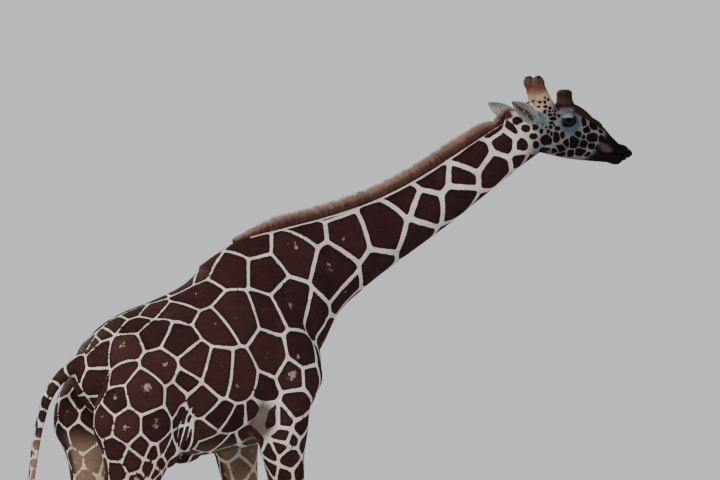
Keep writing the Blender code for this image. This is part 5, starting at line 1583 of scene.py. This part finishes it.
class GiraffeSizes(bpy.types.PropertyGroup):
    skin_voxel: length_property("Skin Voxel", "Grid that the skin is fused on", FULL_VOXEL)
    skin_triangles: count_property("Skin Triangles", "Triangles that the skin keeps", 196000)
    mane_height: length_property("Mane Height", "How far the mane stands above the crest", 0.088)
    mane_tufts: count_property("Mane Tufts", "Number of tufts in the mane", 11500)
    tail_hair_length: length_property("Tail Hair Length", "Length of the longest tail hair", 0.62)
    tail_strands: count_property("Tail Strands", "Locks of hair on the tail", 2600)
    coat_tufts: count_property("Coat Tufts", "Short tufts on each part of the skin", 19000)
    floor_radius: length_property("Floor Radius", "How far the floor reaches", 60.0)


class GiraffeColours(bpy.types.PropertyGroup):
    patch_dark: colour_property("Dark Patch", "Liver brown of the darker patches", (0.0165, 0.0062, 0.006))
    patch_light: colour_property("Light Patch", "Red brown of the lighter patches", (0.036, 0.0135, 0.0115))
    patch_rim: colour_property("Patch Rim", "Darker rim of a patch", (0.011, 0.004, 0.004))
    fleck: colour_property("Fleck", "Pale flecks inside patches", (0.3, 0.22, 0.18))
    line: colour_property("Line", "Cream between the patches", (0.52, 0.465, 0.42))
    line_shade: colour_property("Line Shade", "Greyer cream", (0.42, 0.38, 0.35))
    # The face's lines and spots below are darkened as painted shade lying over the whole head.
    face: colour_property("Face", "Grey between the spots of the face", (0.12, 0.104, 0.103))
    shaded_face_spot: colour_property("Face Spot", "Dark spots of the face", (0.0035, 0.0022, 0.0028))
    # The pale hair round the ears and eyes, painted blue-grey as the shade over the head.
    white_in_shade: colour_property("Cool White", "Bluish white round the ears and eyes", (0.085, 0.118, 0.114))
    leg: colour_property("Leg Cream", "Warm cream of the legs", (0.44, 0.345, 0.265))
    # Painted shade: grey for the lines in the crease behind the elbow.
    elbow: colour_property("Elbow", "Thin grey-tan skin behind the elbow", (0.084, 0.069, 0.06))
    faded: colour_property("Faded Patch", "Patches on the belly and lower legs", (0.19, 0.125, 0.088))
    nose: colour_property("Nose", "Dark brown along the ridge of the nose", (0.02, 0.0085, 0.007))
    # Painted shade: the dark blue-grey that the skin round the eyes shows in shade.
    eye_skin: colour_property("Eye Skin", "Dark blue-grey skin round the eyes", (0.042, 0.062, 0.074))
    # The muzzle's own dark hair, made darker still as painted shade.
    muzzle: colour_property("Muzzle", "Dark hair of the muzzle", (0.0016, 0.0013, 0.0018))
    muzzle_light: colour_property("Muzzle Light", "Paler hair of the muzzle", (0.0046, 0.0032, 0.0036))
    lip: colour_property("Lip", "Brownish pink behind the mouth", (0.046, 0.027, 0.029))
    bare: colour_property("Bare Skin", "Lips, nostrils and rims of the eyes", (0.0014, 0.0017, 0.003))
    horn_foot: colour_property("Ossicone Foot", "Pale orange hair low on the ossicones", (0.3, 0.205, 0.145))
    horn: colour_property("Ossicone", "Orange-brown hair of the ossicones", (0.15, 0.068, 0.04))
    horn_dark: colour_property("Ossicone Knob", "Dark knob of the ossicones", (0.022, 0.009, 0.007))
    # Painted highlight: the upper lid is pale as where light from above falls on it.
    lid: colour_property("Upper Lid", "Pale blue-grey of the upper lids", (0.16, 0.205, 0.225))
    ear_outside: colour_property("Ear Outside", "Grey-tan hair on the back of the ear", (0.25, 0.235, 0.2))
    ear_inside: colour_property("Ear Inside", "Brown skin inside the ear", (0.14, 0.125, 0.105))
    # Painted shade: the dark deep in the ear's hollow.
    ear_hollow_shade: colour_property("Ear Depth", "Dark depth of the ear", (0.012, 0.008, 0.008))
    eye: colour_property("Eye", "Dark brown of the eye", (0.002, 0.0018, 0.0026))
    eye_light: colour_property("Eye Light", "Lighter streaks in the eye", (0.0055, 0.0035, 0.0035))
    eye_white: colour_property("Eye White", "Brownish white of the eye", (0.01, 0.009, 0.01))
    mane_root: colour_property("Mane Root", "Mane at the crest", (0.04, 0.013, 0.0095))
    mane: colour_property("Mane", "Red brown of the mane", (0.095, 0.04, 0.029))
    mane_tip: colour_property("Mane Tip", "Tips of the mane", (0.27, 0.18, 0.145))
    tail_hair: colour_property("Tail Hair", "Near-black hair of the tail", (0.012, 0.009, 0.008))
    hoof: colour_property("Hoof", "Lower hoof", (0.06, 0.046, 0.036))
    hoof_top: colour_property("Hoof Top", "Upper hoof", (0.11, 0.085, 0.064))
    dust: colour_property("Dust", "Dust on the hooves", (0.22, 0.17, 0.125))
    floor: colour_property("Floor", "Floor and backdrop", (0.72, 0.72, 0.71))


# What the skin's operator hands on: its points, normals, triangles and markings.
shared = {}


class GIRAFFE_OT_stage(bpy.types.Operator):
    """Lays the floor, lights it softly and sets the camera on the photograph's view"""

    bl_idname = "giraffe.stage"
    bl_label = "Stage"

    def execute(self, context):
        sizes, colours = context.scene.giraffe_sizes, context.scene.giraffe_colours
        bpy.ops.mesh.primitive_circle_add(vertices=96, radius=sizes.floor_radius, fill_type="NGON")
        floor = context.object
        floor.name = "studio_floor"
        material, tree = new_material("studio_paint")
        shader = tree.nodes["Principled BSDF"]
        shader.inputs["Base Color"].default_value = (*colours.floor, 1)
        shader.inputs["Roughness"].default_value = 0.9
        floor.data.materials.append(material)
        world = context.scene.world or bpy.data.worlds.new("studio")
        context.scene.world = world
        world.use_nodes = True
        tree = world.node_tree
        seen = node(tree, "ShaderNodeLightPath").outputs["Is Camera Ray"]
        sky = tree.nodes["Background"]
        tree.links.new(blended(tree, seen, SKY_LIGHT, SKY_SEEN), sky.inputs["Color"])
        for name, settings in LAMPS.items():
            self.add_light(name, *settings)
        self.add_camera(context)
        return {"FINISHED"}

    def add_light(self, name, place, size, power, colour):
        lamp = bpy.data.lights.new(name, "AREA")
        lamp.shape = "DISK"
        lamp.size, lamp.energy, lamp.color = size, power, colour
        thing = put_in_scene(name, lamp)
        middle = Vector((WITHERS[0] + 0.3, 0, LAMP_MIDDLE))
        thing.location = middle + Vector(place) - Vector((0, 0, LAMP_MIDDLE))
        thing.rotation_euler = (middle - thing.location).to_track_quat("-Z", "Y").to_euler()

    def add_camera(self, context):
        """The lens gives PIXELS_A_METRE at the animal on the camera's film, across PICTURE_WIDTH pixels."""
        lens = bpy.data.cameras.new("photograph_view")
        lens.lens = lens.sensor_width * PIXELS_A_METRE * CAMERA_DISTANCE / PICTURE_WIDTH
        lens.clip_end = 1000.0
        camera = put_in_scene("photograph_view", lens)
        place, right, up, back = photograph_camera()
        camera.location = Vector(place) + Vector(WITHERS)
        camera.rotation_euler = Matrix([right, up, back]).transposed().to_euler()
        context.scene.camera = camera


class GIRAFFE_OT_skin(bpy.types.Operator):
    """Makes the one skin that covers head, neck, trunk, legs and tail, with its patches"""

    bl_idname = "giraffe.skin"
    bl_label = "Skin"

    def execute(self, context):
        sizes, colours = context.scene.giraffe_sizes, context.scene.giraffe_colours
        voxel = sizes.skin_voxel
        mesh = make_skin_mesh(voxel)
        points, normals = points_of(mesh), normals_of(mesh)
        markings = Markings(points[::MARKING_STEP], normals[::MARKING_STEP])
        keep = skin_detail(points, markings.patch_field(points)[0])
        mesh = thinned(mesh, sizes.skin_triangles, keep)
        points, normals = points_of(mesh), normals_of(mesh)
        set_attributes(mesh, markings.at(points, normals))
        mesh.calc_loop_triangles()
        corners = read(mesh.loop_triangles, "vertices", 3, np.int32)
        shared.update(points=points, normals=normals, corners=corners, markings=markings)
        nodes = ["head", "neck_upper", "neck_middle", "neck_lower", "torso", "tail_stem"]
        for part in ("upper", "cannon"):
            nodes += [f"{leg}_{side}_{part}" for leg in LEG_TABLES for side in SIDES]
        piece_from("skin", mesh, coat_material("giraffe_hide", colours), "coat", *nodes)
        return {"FINISHED"}


class GIRAFFE_OT_ears(bpy.types.Operator):
    """Makes the cupped ears and the hair that lines them"""

    bl_idname = "giraffe.ears"
    bl_label = "Ears"

    def execute(self, context):
        colours = context.scene.giraffe_colours
        hide = ear_material(colours)
        # Ear hair runs from the painted blue-grey shade at its root to cream.
        hair = hair_material("ear_hair", colours.white_in_shade, colours.line, colours.line, 0.6)
        chance = np.random.default_rng(SEEDS["ears"])
        for side, sign in SIDES.items():
            rings, share, opening, axis = ear_rings(sign)
            count, around = rings.shape[:2]
            faces = tube_faces(count, around)
            mesh = new_mesh("ear_hide_" + side, from_head(rings.reshape(-1, 3)), faces)
            inner = (np.arange(around) >= (around + 2) // 2)[None] * (share > 0.1)[:, None]
            edge = np.minimum(np.arange(around), around - np.arange(around)) / around
            deep = inner * smooth_step((0.5 - np.abs(edge - 0.25) * 2.4) / 0.4)[None]
            set_attributes(mesh, {"inside": deep.ravel().astype(float)})
            point_outwards(mesh)
            piece_from("ear_hide_" + side, mesh, hide, "coat", "ear_" + side)
            self.line_with_hair(side, rings, share, opening, axis, hair, chance)
        return {"FINISHED"}

    def line_with_hair(self, side, rings, share, opening, axis, material, chance):
        """Fine tufts grow along both rims and point across the opening and towards the tip."""
        count, around = rings.shape[:2]
        half = (around + 2) // 2
        rows = chance.integers(8, count - 3, EAR_TUFTS)
        rim = np.where(chance.uniform(0, 1, EAR_TUFTS) < 0.5, 1, half - 2)
        inner = around - rim
        inner = np.where(inner >= around, half, inner)
        root = rings[rows, rim] * 0.5 + rings[rows, inner % around] * 0.5
        middle = rings[rows].mean(axis=1)
        toward = unit(middle - root)
        first = unit(0.55 * toward + 0.7 * opening + 0.25 * axis + chance.normal(0, 0.12, root.shape))
        last = unit(0.8 * toward + 0.9 * axis + 0.2 * opening + chance.normal(0, 0.15, root.shape))
        length = chance.uniform(0.008, 0.017, len(root)) * (1 - 0.5 * share[rows])
        ways = first @ HEAD_AXES.T, last @ HEAD_AXES.T
        width = chance.uniform(0.0006, 0.0011, len(root))
        hair_piece("ear_hair_" + side, material, "coat", chance, from_head(root), ways, length, width, 3)


class GIRAFFE_OT_ossicones(bpy.types.Operator):
    """Makes the three ossicones with their hair and rubbed knobs"""

    bl_idname = "giraffe.ossicones"
    bl_label = "Ossicones"

    def execute(self, context):
        colours = context.scene.giraffe_colours
        skin = ossicone_material("ossicone_skin", colours.horn_foot, colours.horn, colours)
        hair = hair_material("ossicone_hair", colours.horn, colours.horn, colours.horn, 0.55)
        # The middle ossicone is dark all over: the real dark band of its front, and painted shade on the
        # rest.
        crown = ossicone_material("crown_skin", colours.horn_dark, colours.horn_dark, colours)
        crown_hair = hair_material("crown_hair", colours.horn_dark, colours.horn_dark, colours.horn, 0.55)
        chance = np.random.default_rng(SEEDS["ossicones"])
        for name, (place, length, radii, cut) in OSSICONES.items():
            start = cut - HORN_LAP
            points, faces = ossicone_shape(*place, length, radii, start=start)
            horn_skin, horn_hair = (crown, crown_hair) if name == "middle" else (skin, hair)
            axis = unit(ossicone_axis(place[1], place[3]))
            height = (to_head(points) - place[:3]) @ axis
            share = np.clip((height - start) / (length - start), 0, 1)
            spot = shared["markings"].spot_field(to_head(points))
            points = points + self.knobbly(points, share)
            mesh = new_mesh("horn_" + name, points, faces)
            set_attributes(mesh, {"along": share, "patch": spot})
            point_outwards(mesh)
            normals = normals_of(mesh)
            piece_from("horn_" + name, mesh, horn_skin, "horn", "ossicone_" + name)
            self.add_hair(name, points, normals, share, axis @ HEAD_AXES.T, horn_hair, chance)
        return {"FINISHED"}

    def knobbly(self, points, share):
        """Low bumps on the knob: a sum of three sines of place."""
        wave = np.sin(points[:, 0] * 210) + np.sin(points[:, 1] * 240 + 1) + np.sin(points[:, 2] * 190 + 2)
        middle = points.mean(axis=0)
        return unit(points - middle) * (0.0009 * wave * smooth_step((share - 0.55) / 0.3))[:, None]

    def add_hair(self, name, points, normals, share, axis, material, chance):
        """Short tufts lie up the stem and end in a longer ring below the bald knob."""
        dense = smooth_step((share - 0.22) / 0.36) * (share < 0.88)
        pick = chance.choice(len(share), HORN_TUFTS, p=dense / dense.sum())
        root = points[pick] + chance.normal(0, 0.0015, (len(pick), 3)) - normals[pick] * 0.001
        out = normals[pick]
        ring = bell(share[pick] - 0.66, 0.12)
        first = unit(out * (0.35 + 0.4 * ring)[:, None] + axis * 0.9 + chance.normal(0, 0.1, root.shape))
        last = unit(out * 0.1 + axis + chance.normal(0, 0.12, root.shape))
        length = chance.uniform(0.007, 0.012, len(pick)) * (1 + 0.7 * ring)
        width = chance.uniform(0.0007, 0.0012, len(pick))
        hair_piece("horn_hair_" + name, material, "horn", chance, root, (first, last), length, width, 3)


class GIRAFFE_OT_eyes(bpy.types.Operator):
    """Makes the eyes, their lids and their long lashes"""

    bl_idname = "giraffe.eyes"
    bl_label = "Eyes"

    def execute(self, context):
        colours = context.scene.giraffe_colours
        wet = eye_material(colours)
        lid = lid_material(colours)
        lash = hair_material("lash_hair", *LASH_COLOURS, 0.4)
        chance = np.random.default_rng(SEEDS["eyes"])
        for side, sign in SIDES.items():
            self.make_ball(side, sign, wet)
            self.make_lids(side, sign, lid)
            self.make_lashes(side, sign, lash, chance)
        return {"FINISHED"}

    def make_ball(self, side, sign, material):
        """A ball whose cornea is raised by a bell round the outward axis."""
        step, turn = np.linspace(0.01, math.pi - 0.01, BALL_RINGS), circle(BALL_ROUND)
        radius = EYE_RADIUS * (0.985 + 0.05 * bell(step, 0.6))
        out = np.cos(step)[:, None] + 0 * turn
        level = np.sin(step)[:, None] * np.cos(turn)
        tall = np.sin(step)[:, None] * np.sin(turn)
        gaze = np.stack([level, tall, out], axis=-1)
        lean = unit(np.array([0.3, sign * 1.0, -0.06]))
        ahead = unit(np.array([1.0, 0, 0.0]) - lean * lean[0])
        above = np.cross(ahead, lean) * sign
        ball = level[..., None] * ahead + tall[..., None] * above + out[..., None] * lean
        ball = ball * radius[:, None, None]
        points = ball.reshape(-1, 3) + np.array([EYE_ALONG, sign * EYE_SIDE, EYE_UP])
        mesh = new_mesh("eyeball_" + side, from_head(points), tube_faces(BALL_RINGS, BALL_ROUND))
        layer = mesh.attributes.new("gaze", "FLOAT_VECTOR", "POINT")
        layer.data.foreach_set("vector", gaze.reshape(-1).astype(np.float32))
        point_outwards(mesh)
        piece_from("eyeball_" + side, mesh, material, "eye", "eye_" + side)

    def rim_point(self, angle):
        """The opening between the lids, as offsets along and up: the upper lid covers half of the eye."""
        along = 0.0278 * np.cos(angle)
        upper = 0.006 * np.abs(np.sin(angle)) ** 1.1
        lower = -0.0225 * np.abs(np.sin(angle)) ** 1.1
        return along, np.where(np.sin(angle) > 0, upper, lower) + 0.22 * along - 0.001

    def orbit_height(self, along, up):
        """How far the orbit's ellipsoid stands out to the side at offsets from the eye."""
        inside = 1 - (along / ORBIT_SIZE[0]) ** 2 - ((up - 0.002) / ORBIT_SIZE[2]) ** 2
        return ORBIT_SIDE + ORBIT_SIZE[1] * np.sqrt(np.maximum(inside, 0.15))

    def make_lids(self, side, sign, material):
        """Rings round the eye, from inside the wet rim over a soft roll and two folds into the skin."""
        angle = circle(LID_ROUND)
        along, up = self.rim_point(angle)
        far_along, far_up = 0.046 * np.cos(angle), 0.0375 * np.sin(angle) + 0.006 * np.cos(angle)
        upper = smooth_step(np.sin(angle) * 1.4)
        rings = []
        for grow, high in LID_RINGS:
            a, u = along + grow * (far_along - along), up + grow * (far_up - up)
            flat = np.hypot(a, u)
            ball = EYE_SIDE + np.sqrt(np.maximum((EYE_RADIUS * 1.01) ** 2 - flat**2, 0))
            ball = ball - np.maximum(flat - 0.029, 0)
            out = np.maximum(ball, self.orbit_height(a, u) - 0.0012) + high * (0.8 + 0.5 * upper)
            rings.append(columns(EYE_ALONG + a, sign * out, EYE_UP + u))
        rings = np.array(rings)
        inner = rings[0] - np.array([0, sign * 0.01, 0])
        outer = rings[-1] - np.array([0, sign * 0.012, 0])
        rings = np.concatenate([inner[None], rings, outer[None]])
        count, around = rings.shape[:2]
        ring, place = np.meshgrid(np.arange(count), np.arange(around), indexing="ij")
        low, high = ring * around, ((ring + 1) % count) * around
        after = (place + 1) % around
        faces = np.stack([low + place, low + after, high + after, high + place], axis=-1).reshape(-1, 4)
        mesh = new_mesh("lids_" + side, from_head(rings.reshape(-1, 3)), faces)
        rim = np.interp(np.arange(count), (0, 1, 3, 5, 7), (1, 1, 0.8, 0.3, 0))
        lower = smooth_step((0.25 - np.sin(angle) + 1.3 * np.maximum(np.cos(angle) + 0.05, 0)) / 0.4)
        set_attributes(mesh, {"rim": np.repeat(rim, around), "lower": np.tile(lower, count)})
        point_outwards(mesh)
        piece_from("lids_" + side, mesh, material, "coat")

    def make_lashes(self, side, sign, material, chance):
        """Long upper lashes that sweep out and down, and short lower ones."""
        upper = chance.uniform(0.1, math.pi - 0.1, UPPER_LASHES)
        lower = chance.uniform(math.pi + 0.5, 2 * math.pi - 0.5, LOWER_LASHES)
        angle = np.concatenate([upper, lower])
        above = np.sin(angle) > 0
        along, up = self.rim_point(angle)
        flat = np.hypot(along, up) * 1.03
        out = EYE_SIDE + np.sqrt(np.maximum(EYE_RADIUS**2 - flat**2, 0)) + 0.0035
        root = columns(EYE_ALONG + along * 1.03, sign * out, EYE_UP + up * 1.06)
        fan = along / 0.03
        first = [0.35 * fan + 0.1, sign * np.ones_like(fan), np.where(above, 0.1, -0.15)]
        first = np.stack(first, axis=1)
        last = [0.75 * fan + 0.1, sign * np.full_like(fan, 0.8), np.where(above, -0.75, -0.5)]
        last = np.stack(last, axis=1)
        first = unit(first + chance.normal(0, 0.08, first.shape)) @ HEAD_AXES.T
        last = unit(last + chance.normal(0, 0.1, last.shape)) @ HEAD_AXES.T
        count = len(angle)
        length = np.where(above, chance.uniform(0.02, 0.03, count), chance.uniform(0.007, 0.012, count))
        root, width = from_head(root), np.full(count, 0.0006)
        hair_piece("lashes_" + side, material, "coat", chance, root, (first, last), length, width, 5)


class GIRAFFE_OT_mane(bpy.types.Operator):
    """Makes the upright mane along the crest"""

    bl_idname = "giraffe.mane"
    bl_label = "Mane"

    def execute(self, context):
        sizes, colours = context.scene.giraffe_sizes, context.scene.giraffe_colours
        chance = np.random.default_rng(SEEDS["mane"])
        count = sizes.mane_tufts
        distance = np.sort(chance.uniform(MANE_START, MANE_END, count))
        point, forward, out, side = crest_frame(distance, *crest_top(shared["points"]))
        aside = chance.uniform(-1, 1, count)
        root = point + side * (aside * MANE_SIDE)[:, None] - out * (0.006 + 0.01 * aside**2)[:, None]
        height = mane_height(distance, sizes.mane_height)
        clump = np.sin(distance * 97) + np.sin(distance * 61 + 2)
        full = height * (1.0 - 0.16 * np.abs(aside) + 0.025 * clump)
        length = full * chance.uniform(0.9, 1.03, count) + 0.008
        lean = (0.12 + 0.05 * clump)[:, None]
        aside = aside[:, None]
        first = out + side * (0.1 * aside) - forward * (0.5 * lean) + chance.normal(0, 0.05, root.shape)
        last = out - side * (0.05 * aside) - forward * (lean * 2.0) + chance.normal(0, 0.09, root.shape)
        hair = hair_material("mane_hair", colours.mane_root, colours.mane, colours.mane_tip, 0.55)
        width = chance.uniform(0.0016, 0.0027, count)
        hair_piece("mane", hair, "coat", chance, root, (unit(first), unit(last)), length, width, 3)
        return {"FINISHED"}


class GIRAFFE_OT_tail_hair(bpy.types.Operator):
    """Makes the long dark hair of the tail"""

    bl_idname = "giraffe.tail_hair"
    bl_label = "Tail Hair"

    def execute(self, context):
        sizes, colours = context.scene.giraffe_sizes, context.scene.giraffe_colours
        chance = np.random.default_rng(SEEDS["tail"])
        count = sizes.tail_strands
        x, y, z, _ = eased(TAIL, 200).T
        share = chance.uniform(0, 1, count) ** 1.2
        height = TUFT_TOP - (TUFT_TOP - TUFT_BOTTOM) * share
        centre = np.stack([np.interp(height, z[::-1], row[::-1]) for row in (x, y, z)], axis=1)
        turn = chance.uniform(0, 2 * math.pi, count)
        out = columns(np.cos(turn), np.sin(turn), 0 * turn)
        root = centre + out * 0.014
        length = sizes.tail_hair_length * (1 - 0.3 * share) * chance.uniform(0.62, 1.0, count)
        down = np.array([0, 0, -1.0])
        clump = np.round(turn / 0.45) * 0.45
        lock = columns(np.cos(clump * 3.1), np.sin(clump * 2.3), 0 * clump)
        first = unit(down + out * chance.uniform(0.1, 0.3, count)[:, None])
        last = unit(down - out * 0.1 + lock * 0.035 + chance.normal(0, 0.02, out.shape))
        bow = lock * chance.uniform(0.0, 0.012, count)[:, None] + out * 0.006
        hair = hair_material("tail_hair", colours.tail_hair, colours.tail_hair, colours.mane_root, 0.42)
        width = chance.uniform(0.001, 0.0019, count)
        ways, nodes = (first, last), ("tail_tuft",)
        hair_piece("tail_hair", hair, "tuft", chance, root, ways, length, width, 9, nodes, bow)
        return {"FINISHED"}


class GIRAFFE_OT_coat(bpy.types.Operator):
    """Sets short tufts all over the skin, so that they break its outline"""

    bl_idname = "giraffe.coat"
    bl_label = "Short Coat"

    def execute(self, context):
        sizes, colours = context.scene.giraffe_sizes, context.scene.giraffe_colours
        chance = np.random.default_rng(SEEDS["coat"])
        corners = shared["corners"]
        middle = shared["points"][corners].mean(axis=1)
        head = to_head(middle)[:, 0] > -0.03
        neck = (body_places(middle)[:, 0] > 0.45) & (middle[:, 2] > 2.5) & ~head
        leg = (middle[:, 2] < LEG_TOP) & ~head
        parts = {"head": head, "neck": neck, "trunk": ~(head | neck | leg),
                 "forelegs": leg & (middle[:, 0] > -0.4), "hindlegs": leg & (middle[:, 0] <= -0.4)}
        material = coat_material("coat_tufts", colours, True)
        for name, wanted in parts.items():
            root, out = self.sampled(corners[wanted], sizes.coat_tufts, chance)
            self.grow(name, root, out, material, chance)
        return {"FINISHED"}

    def sampled(self, corners, count, chance):
        """Points spread evenly over these triangles of the skin, with the skin's outward directions."""
        points, normals = shared["points"], shared["normals"]
        first, second, third = points[corners[:, 0]], points[corners[:, 1]], points[corners[:, 2]]
        area = lengths(np.cross(second - first, third - first))
        pick = chance.choice(len(corners), count, p=area / area.sum())
        share = chance.dirichlet((1, 1, 1), count)[..., None]
        chosen = corners[pick]
        return np.sum(points[chosen] * share, axis=1), unit(np.sum(normals[chosen] * share, axis=1))

    def grow(self, name, root, out, material, chance):
        """Tufts that lie along the skin, all but at the hooves, the tip of the nose and the eyes."""
        local = to_head(root)
        free = (root[:, 2] > 0.14) & (lengths(local - (0.72, 0, -0.04)) > 0.05)
        free &= lengths(folded(local) - (EYE_ALONG, EYE_SIDE, EYE_UP)) > 0.045
        root, out, local = root[free], out[free], local[free]
        lie = self.lie_of(root, out)
        face = head_nearness(root)
        length = chance.uniform(0.008, 0.014, len(root)) * (1 - 0.55 * face)
        first = unit(lie + out * 0.26 + chance.normal(0, 0.07, root.shape))
        last = unit(lie + out * 0.02 + chance.normal(0, 0.09, root.shape))
        width = chance.uniform(0.0008, 0.0014, len(root)) * (1 - 0.45 * face)
        values = shared["markings"].at(root, out)
        mesh = blade_mesh("coat_" + name, root - out * 0.001, first, last, length, width, 2, 0.35, values)
        piece_from("coat_" + name, mesh, material, "coat")

    def lie_of(self, points, normals):
        """The way that the hair lies: back and down, straight down on the legs, along the skin."""
        leg = leg_nearness(points)[:, None]
        face = head_nearness(points)[:, None]
        way = (1 - leg) * np.array([-0.85, 0, -0.45]) + leg * np.array([-0.1, 0, -1.0])
        way = way * (1 - face) + face * (HEAD_AXES @ np.array([-0.9, 0, -0.15]))
        return unit(way - normals * np.sum(way * normals, axis=1, keepdims=True))


class GIRAFFE_OT_hooves(bpy.types.Operator):
    """Makes the two claws of each hoof"""

    bl_idname = "giraffe.hooves"
    bl_label = "Hooves"

    def execute(self, context):
        colours = context.scene.giraffe_colours
        horn = hoof_material(colours)
        for leg, table in LEG_TABLES.items():
            for side, sign in SIDES.items():
                x, aside = table[-1][0] + STEP[f"{leg}_{side}"], sign * table[-1][1]
                for place, way in (("inner", -sign), ("outer", sign)):
                    mesh = self.claw_mesh(x, aside, way)
                    name = f"{leg}_{side}_{place}"
                    piece_from("claw_" + name, mesh, horn, "hoof", "hoof_" + name)
        return {"FINISHED"}

    def claw_mesh(self, x, aside, way):
        """Half-oval rings that shrink towards the sloping coronet, with a round toe and low growth ridges."""
        slope = math.atan2(HOOF_FRONT - HOOF_BACK, HOOF_LENGTH)
        share = np.array(CLAW_RINGS)
        length = np.interp(share, (0, 0.08, 0.5, 1), (0.965, 1.0, 0.9, 0.78)) * HOOF_LENGTH / 2
        width = np.interp(share, (0, 0.08, 0.5, 1), (0.965, 1.0, 0.94, 0.86)) * CLAW_WIDTH / 2
        soft = 1 - 0.035 * bell(share, 0.012) - 0.06 * smooth_step((share - 0.93) / 0.07)
        ridge = 0.0008 * np.sin(share * 46)
        angle = circle(CLAW_ROUND)
        cosine = powered(np.cos(angle), 0.8)
        sine = powered(np.sin(angle), 0.8)
        middle = aside + way * (CLAW_GAP / 2 + CLAW_WIDTH / 2 * (1 - 0.05 * share))
        px = x + 0.012 - 0.018 * share[:, None] + (length * soft + ridge)[:, None] * cosine
        py = (width * soft + ridge)[:, None] * sine
        py = middle[:, None] + py * (1 - 0.28 * np.clip((px - x) / HOOF_LENGTH * 2, 0, 1) ** 2)
        top = (HOOF_FRONT + HOOF_BACK) / 2 - 0.0003 + (px - x) * math.tan(slope)
        points = np.stack([px, py, share[:, None] * top], axis=-1)
        mesh = new_mesh("claw", points.reshape(-1, 3), tube_faces(len(share), len(angle)))
        set_attributes(mesh, {"along": np.repeat(share, len(angle))})
        point_outwards(mesh)
        return mesh


OPERATORS = (
    GIRAFFE_OT_stage, GIRAFFE_OT_skin, GIRAFFE_OT_ears, GIRAFFE_OT_ossicones, GIRAFFE_OT_eyes,
    GIRAFFE_OT_mane, GIRAFFE_OT_tail_hair, GIRAFFE_OT_coat, GIRAFFE_OT_hooves,
)


class GIRAFFE_PT_tools(bpy.types.Panel):
    """Lists the sizes, the colours and the operators in the order in which they run"""

    bl_idname = "GIRAFFE_PT_tools"
    bl_label = "Giraffe"
    bl_space_type = "VIEW_3D"
    bl_region_type = "UI"
    bl_category = "Giraffe"

    def draw(self, context):
        for group in (context.scene.giraffe_sizes, context.scene.giraffe_colours):
            box = self.layout.box()
            for key in group.__annotations__:
                box.prop(group, key)
        for operator in OPERATORS:
            self.layout.operator(operator.bl_idname)


CLASSES = (GiraffeSizes, GiraffeColours, *OPERATORS, GIRAFFE_PT_tools)


def register():
    for kind in CLASSES:
        bpy.utils.register_class(kind)
    bpy.types.Scene.giraffe_sizes = bpy.props.PointerProperty(type=GiraffeSizes)
    bpy.types.Scene.giraffe_colours = bpy.props.PointerProperty(type=GiraffeColours)


def unregister():
    del bpy.types.Scene.giraffe_colours
    del bpy.types.Scene.giraffe_sizes
    for kind in reversed(CLASSES):
        bpy.utils.unregister_class(kind)


def main():
    register()
    bpy.ops.giraffe.stage()
    bpy.ops.giraffe.skin()
    bpy.ops.giraffe.ears()
    bpy.ops.giraffe.ossicones()
    bpy.ops.giraffe.eyes()
    bpy.ops.giraffe.mane()
    bpy.ops.giraffe.tail_hair()
    bpy.ops.giraffe.coat()
    bpy.ops.giraffe.hooves()


if __name__ == "__main__":
    main()
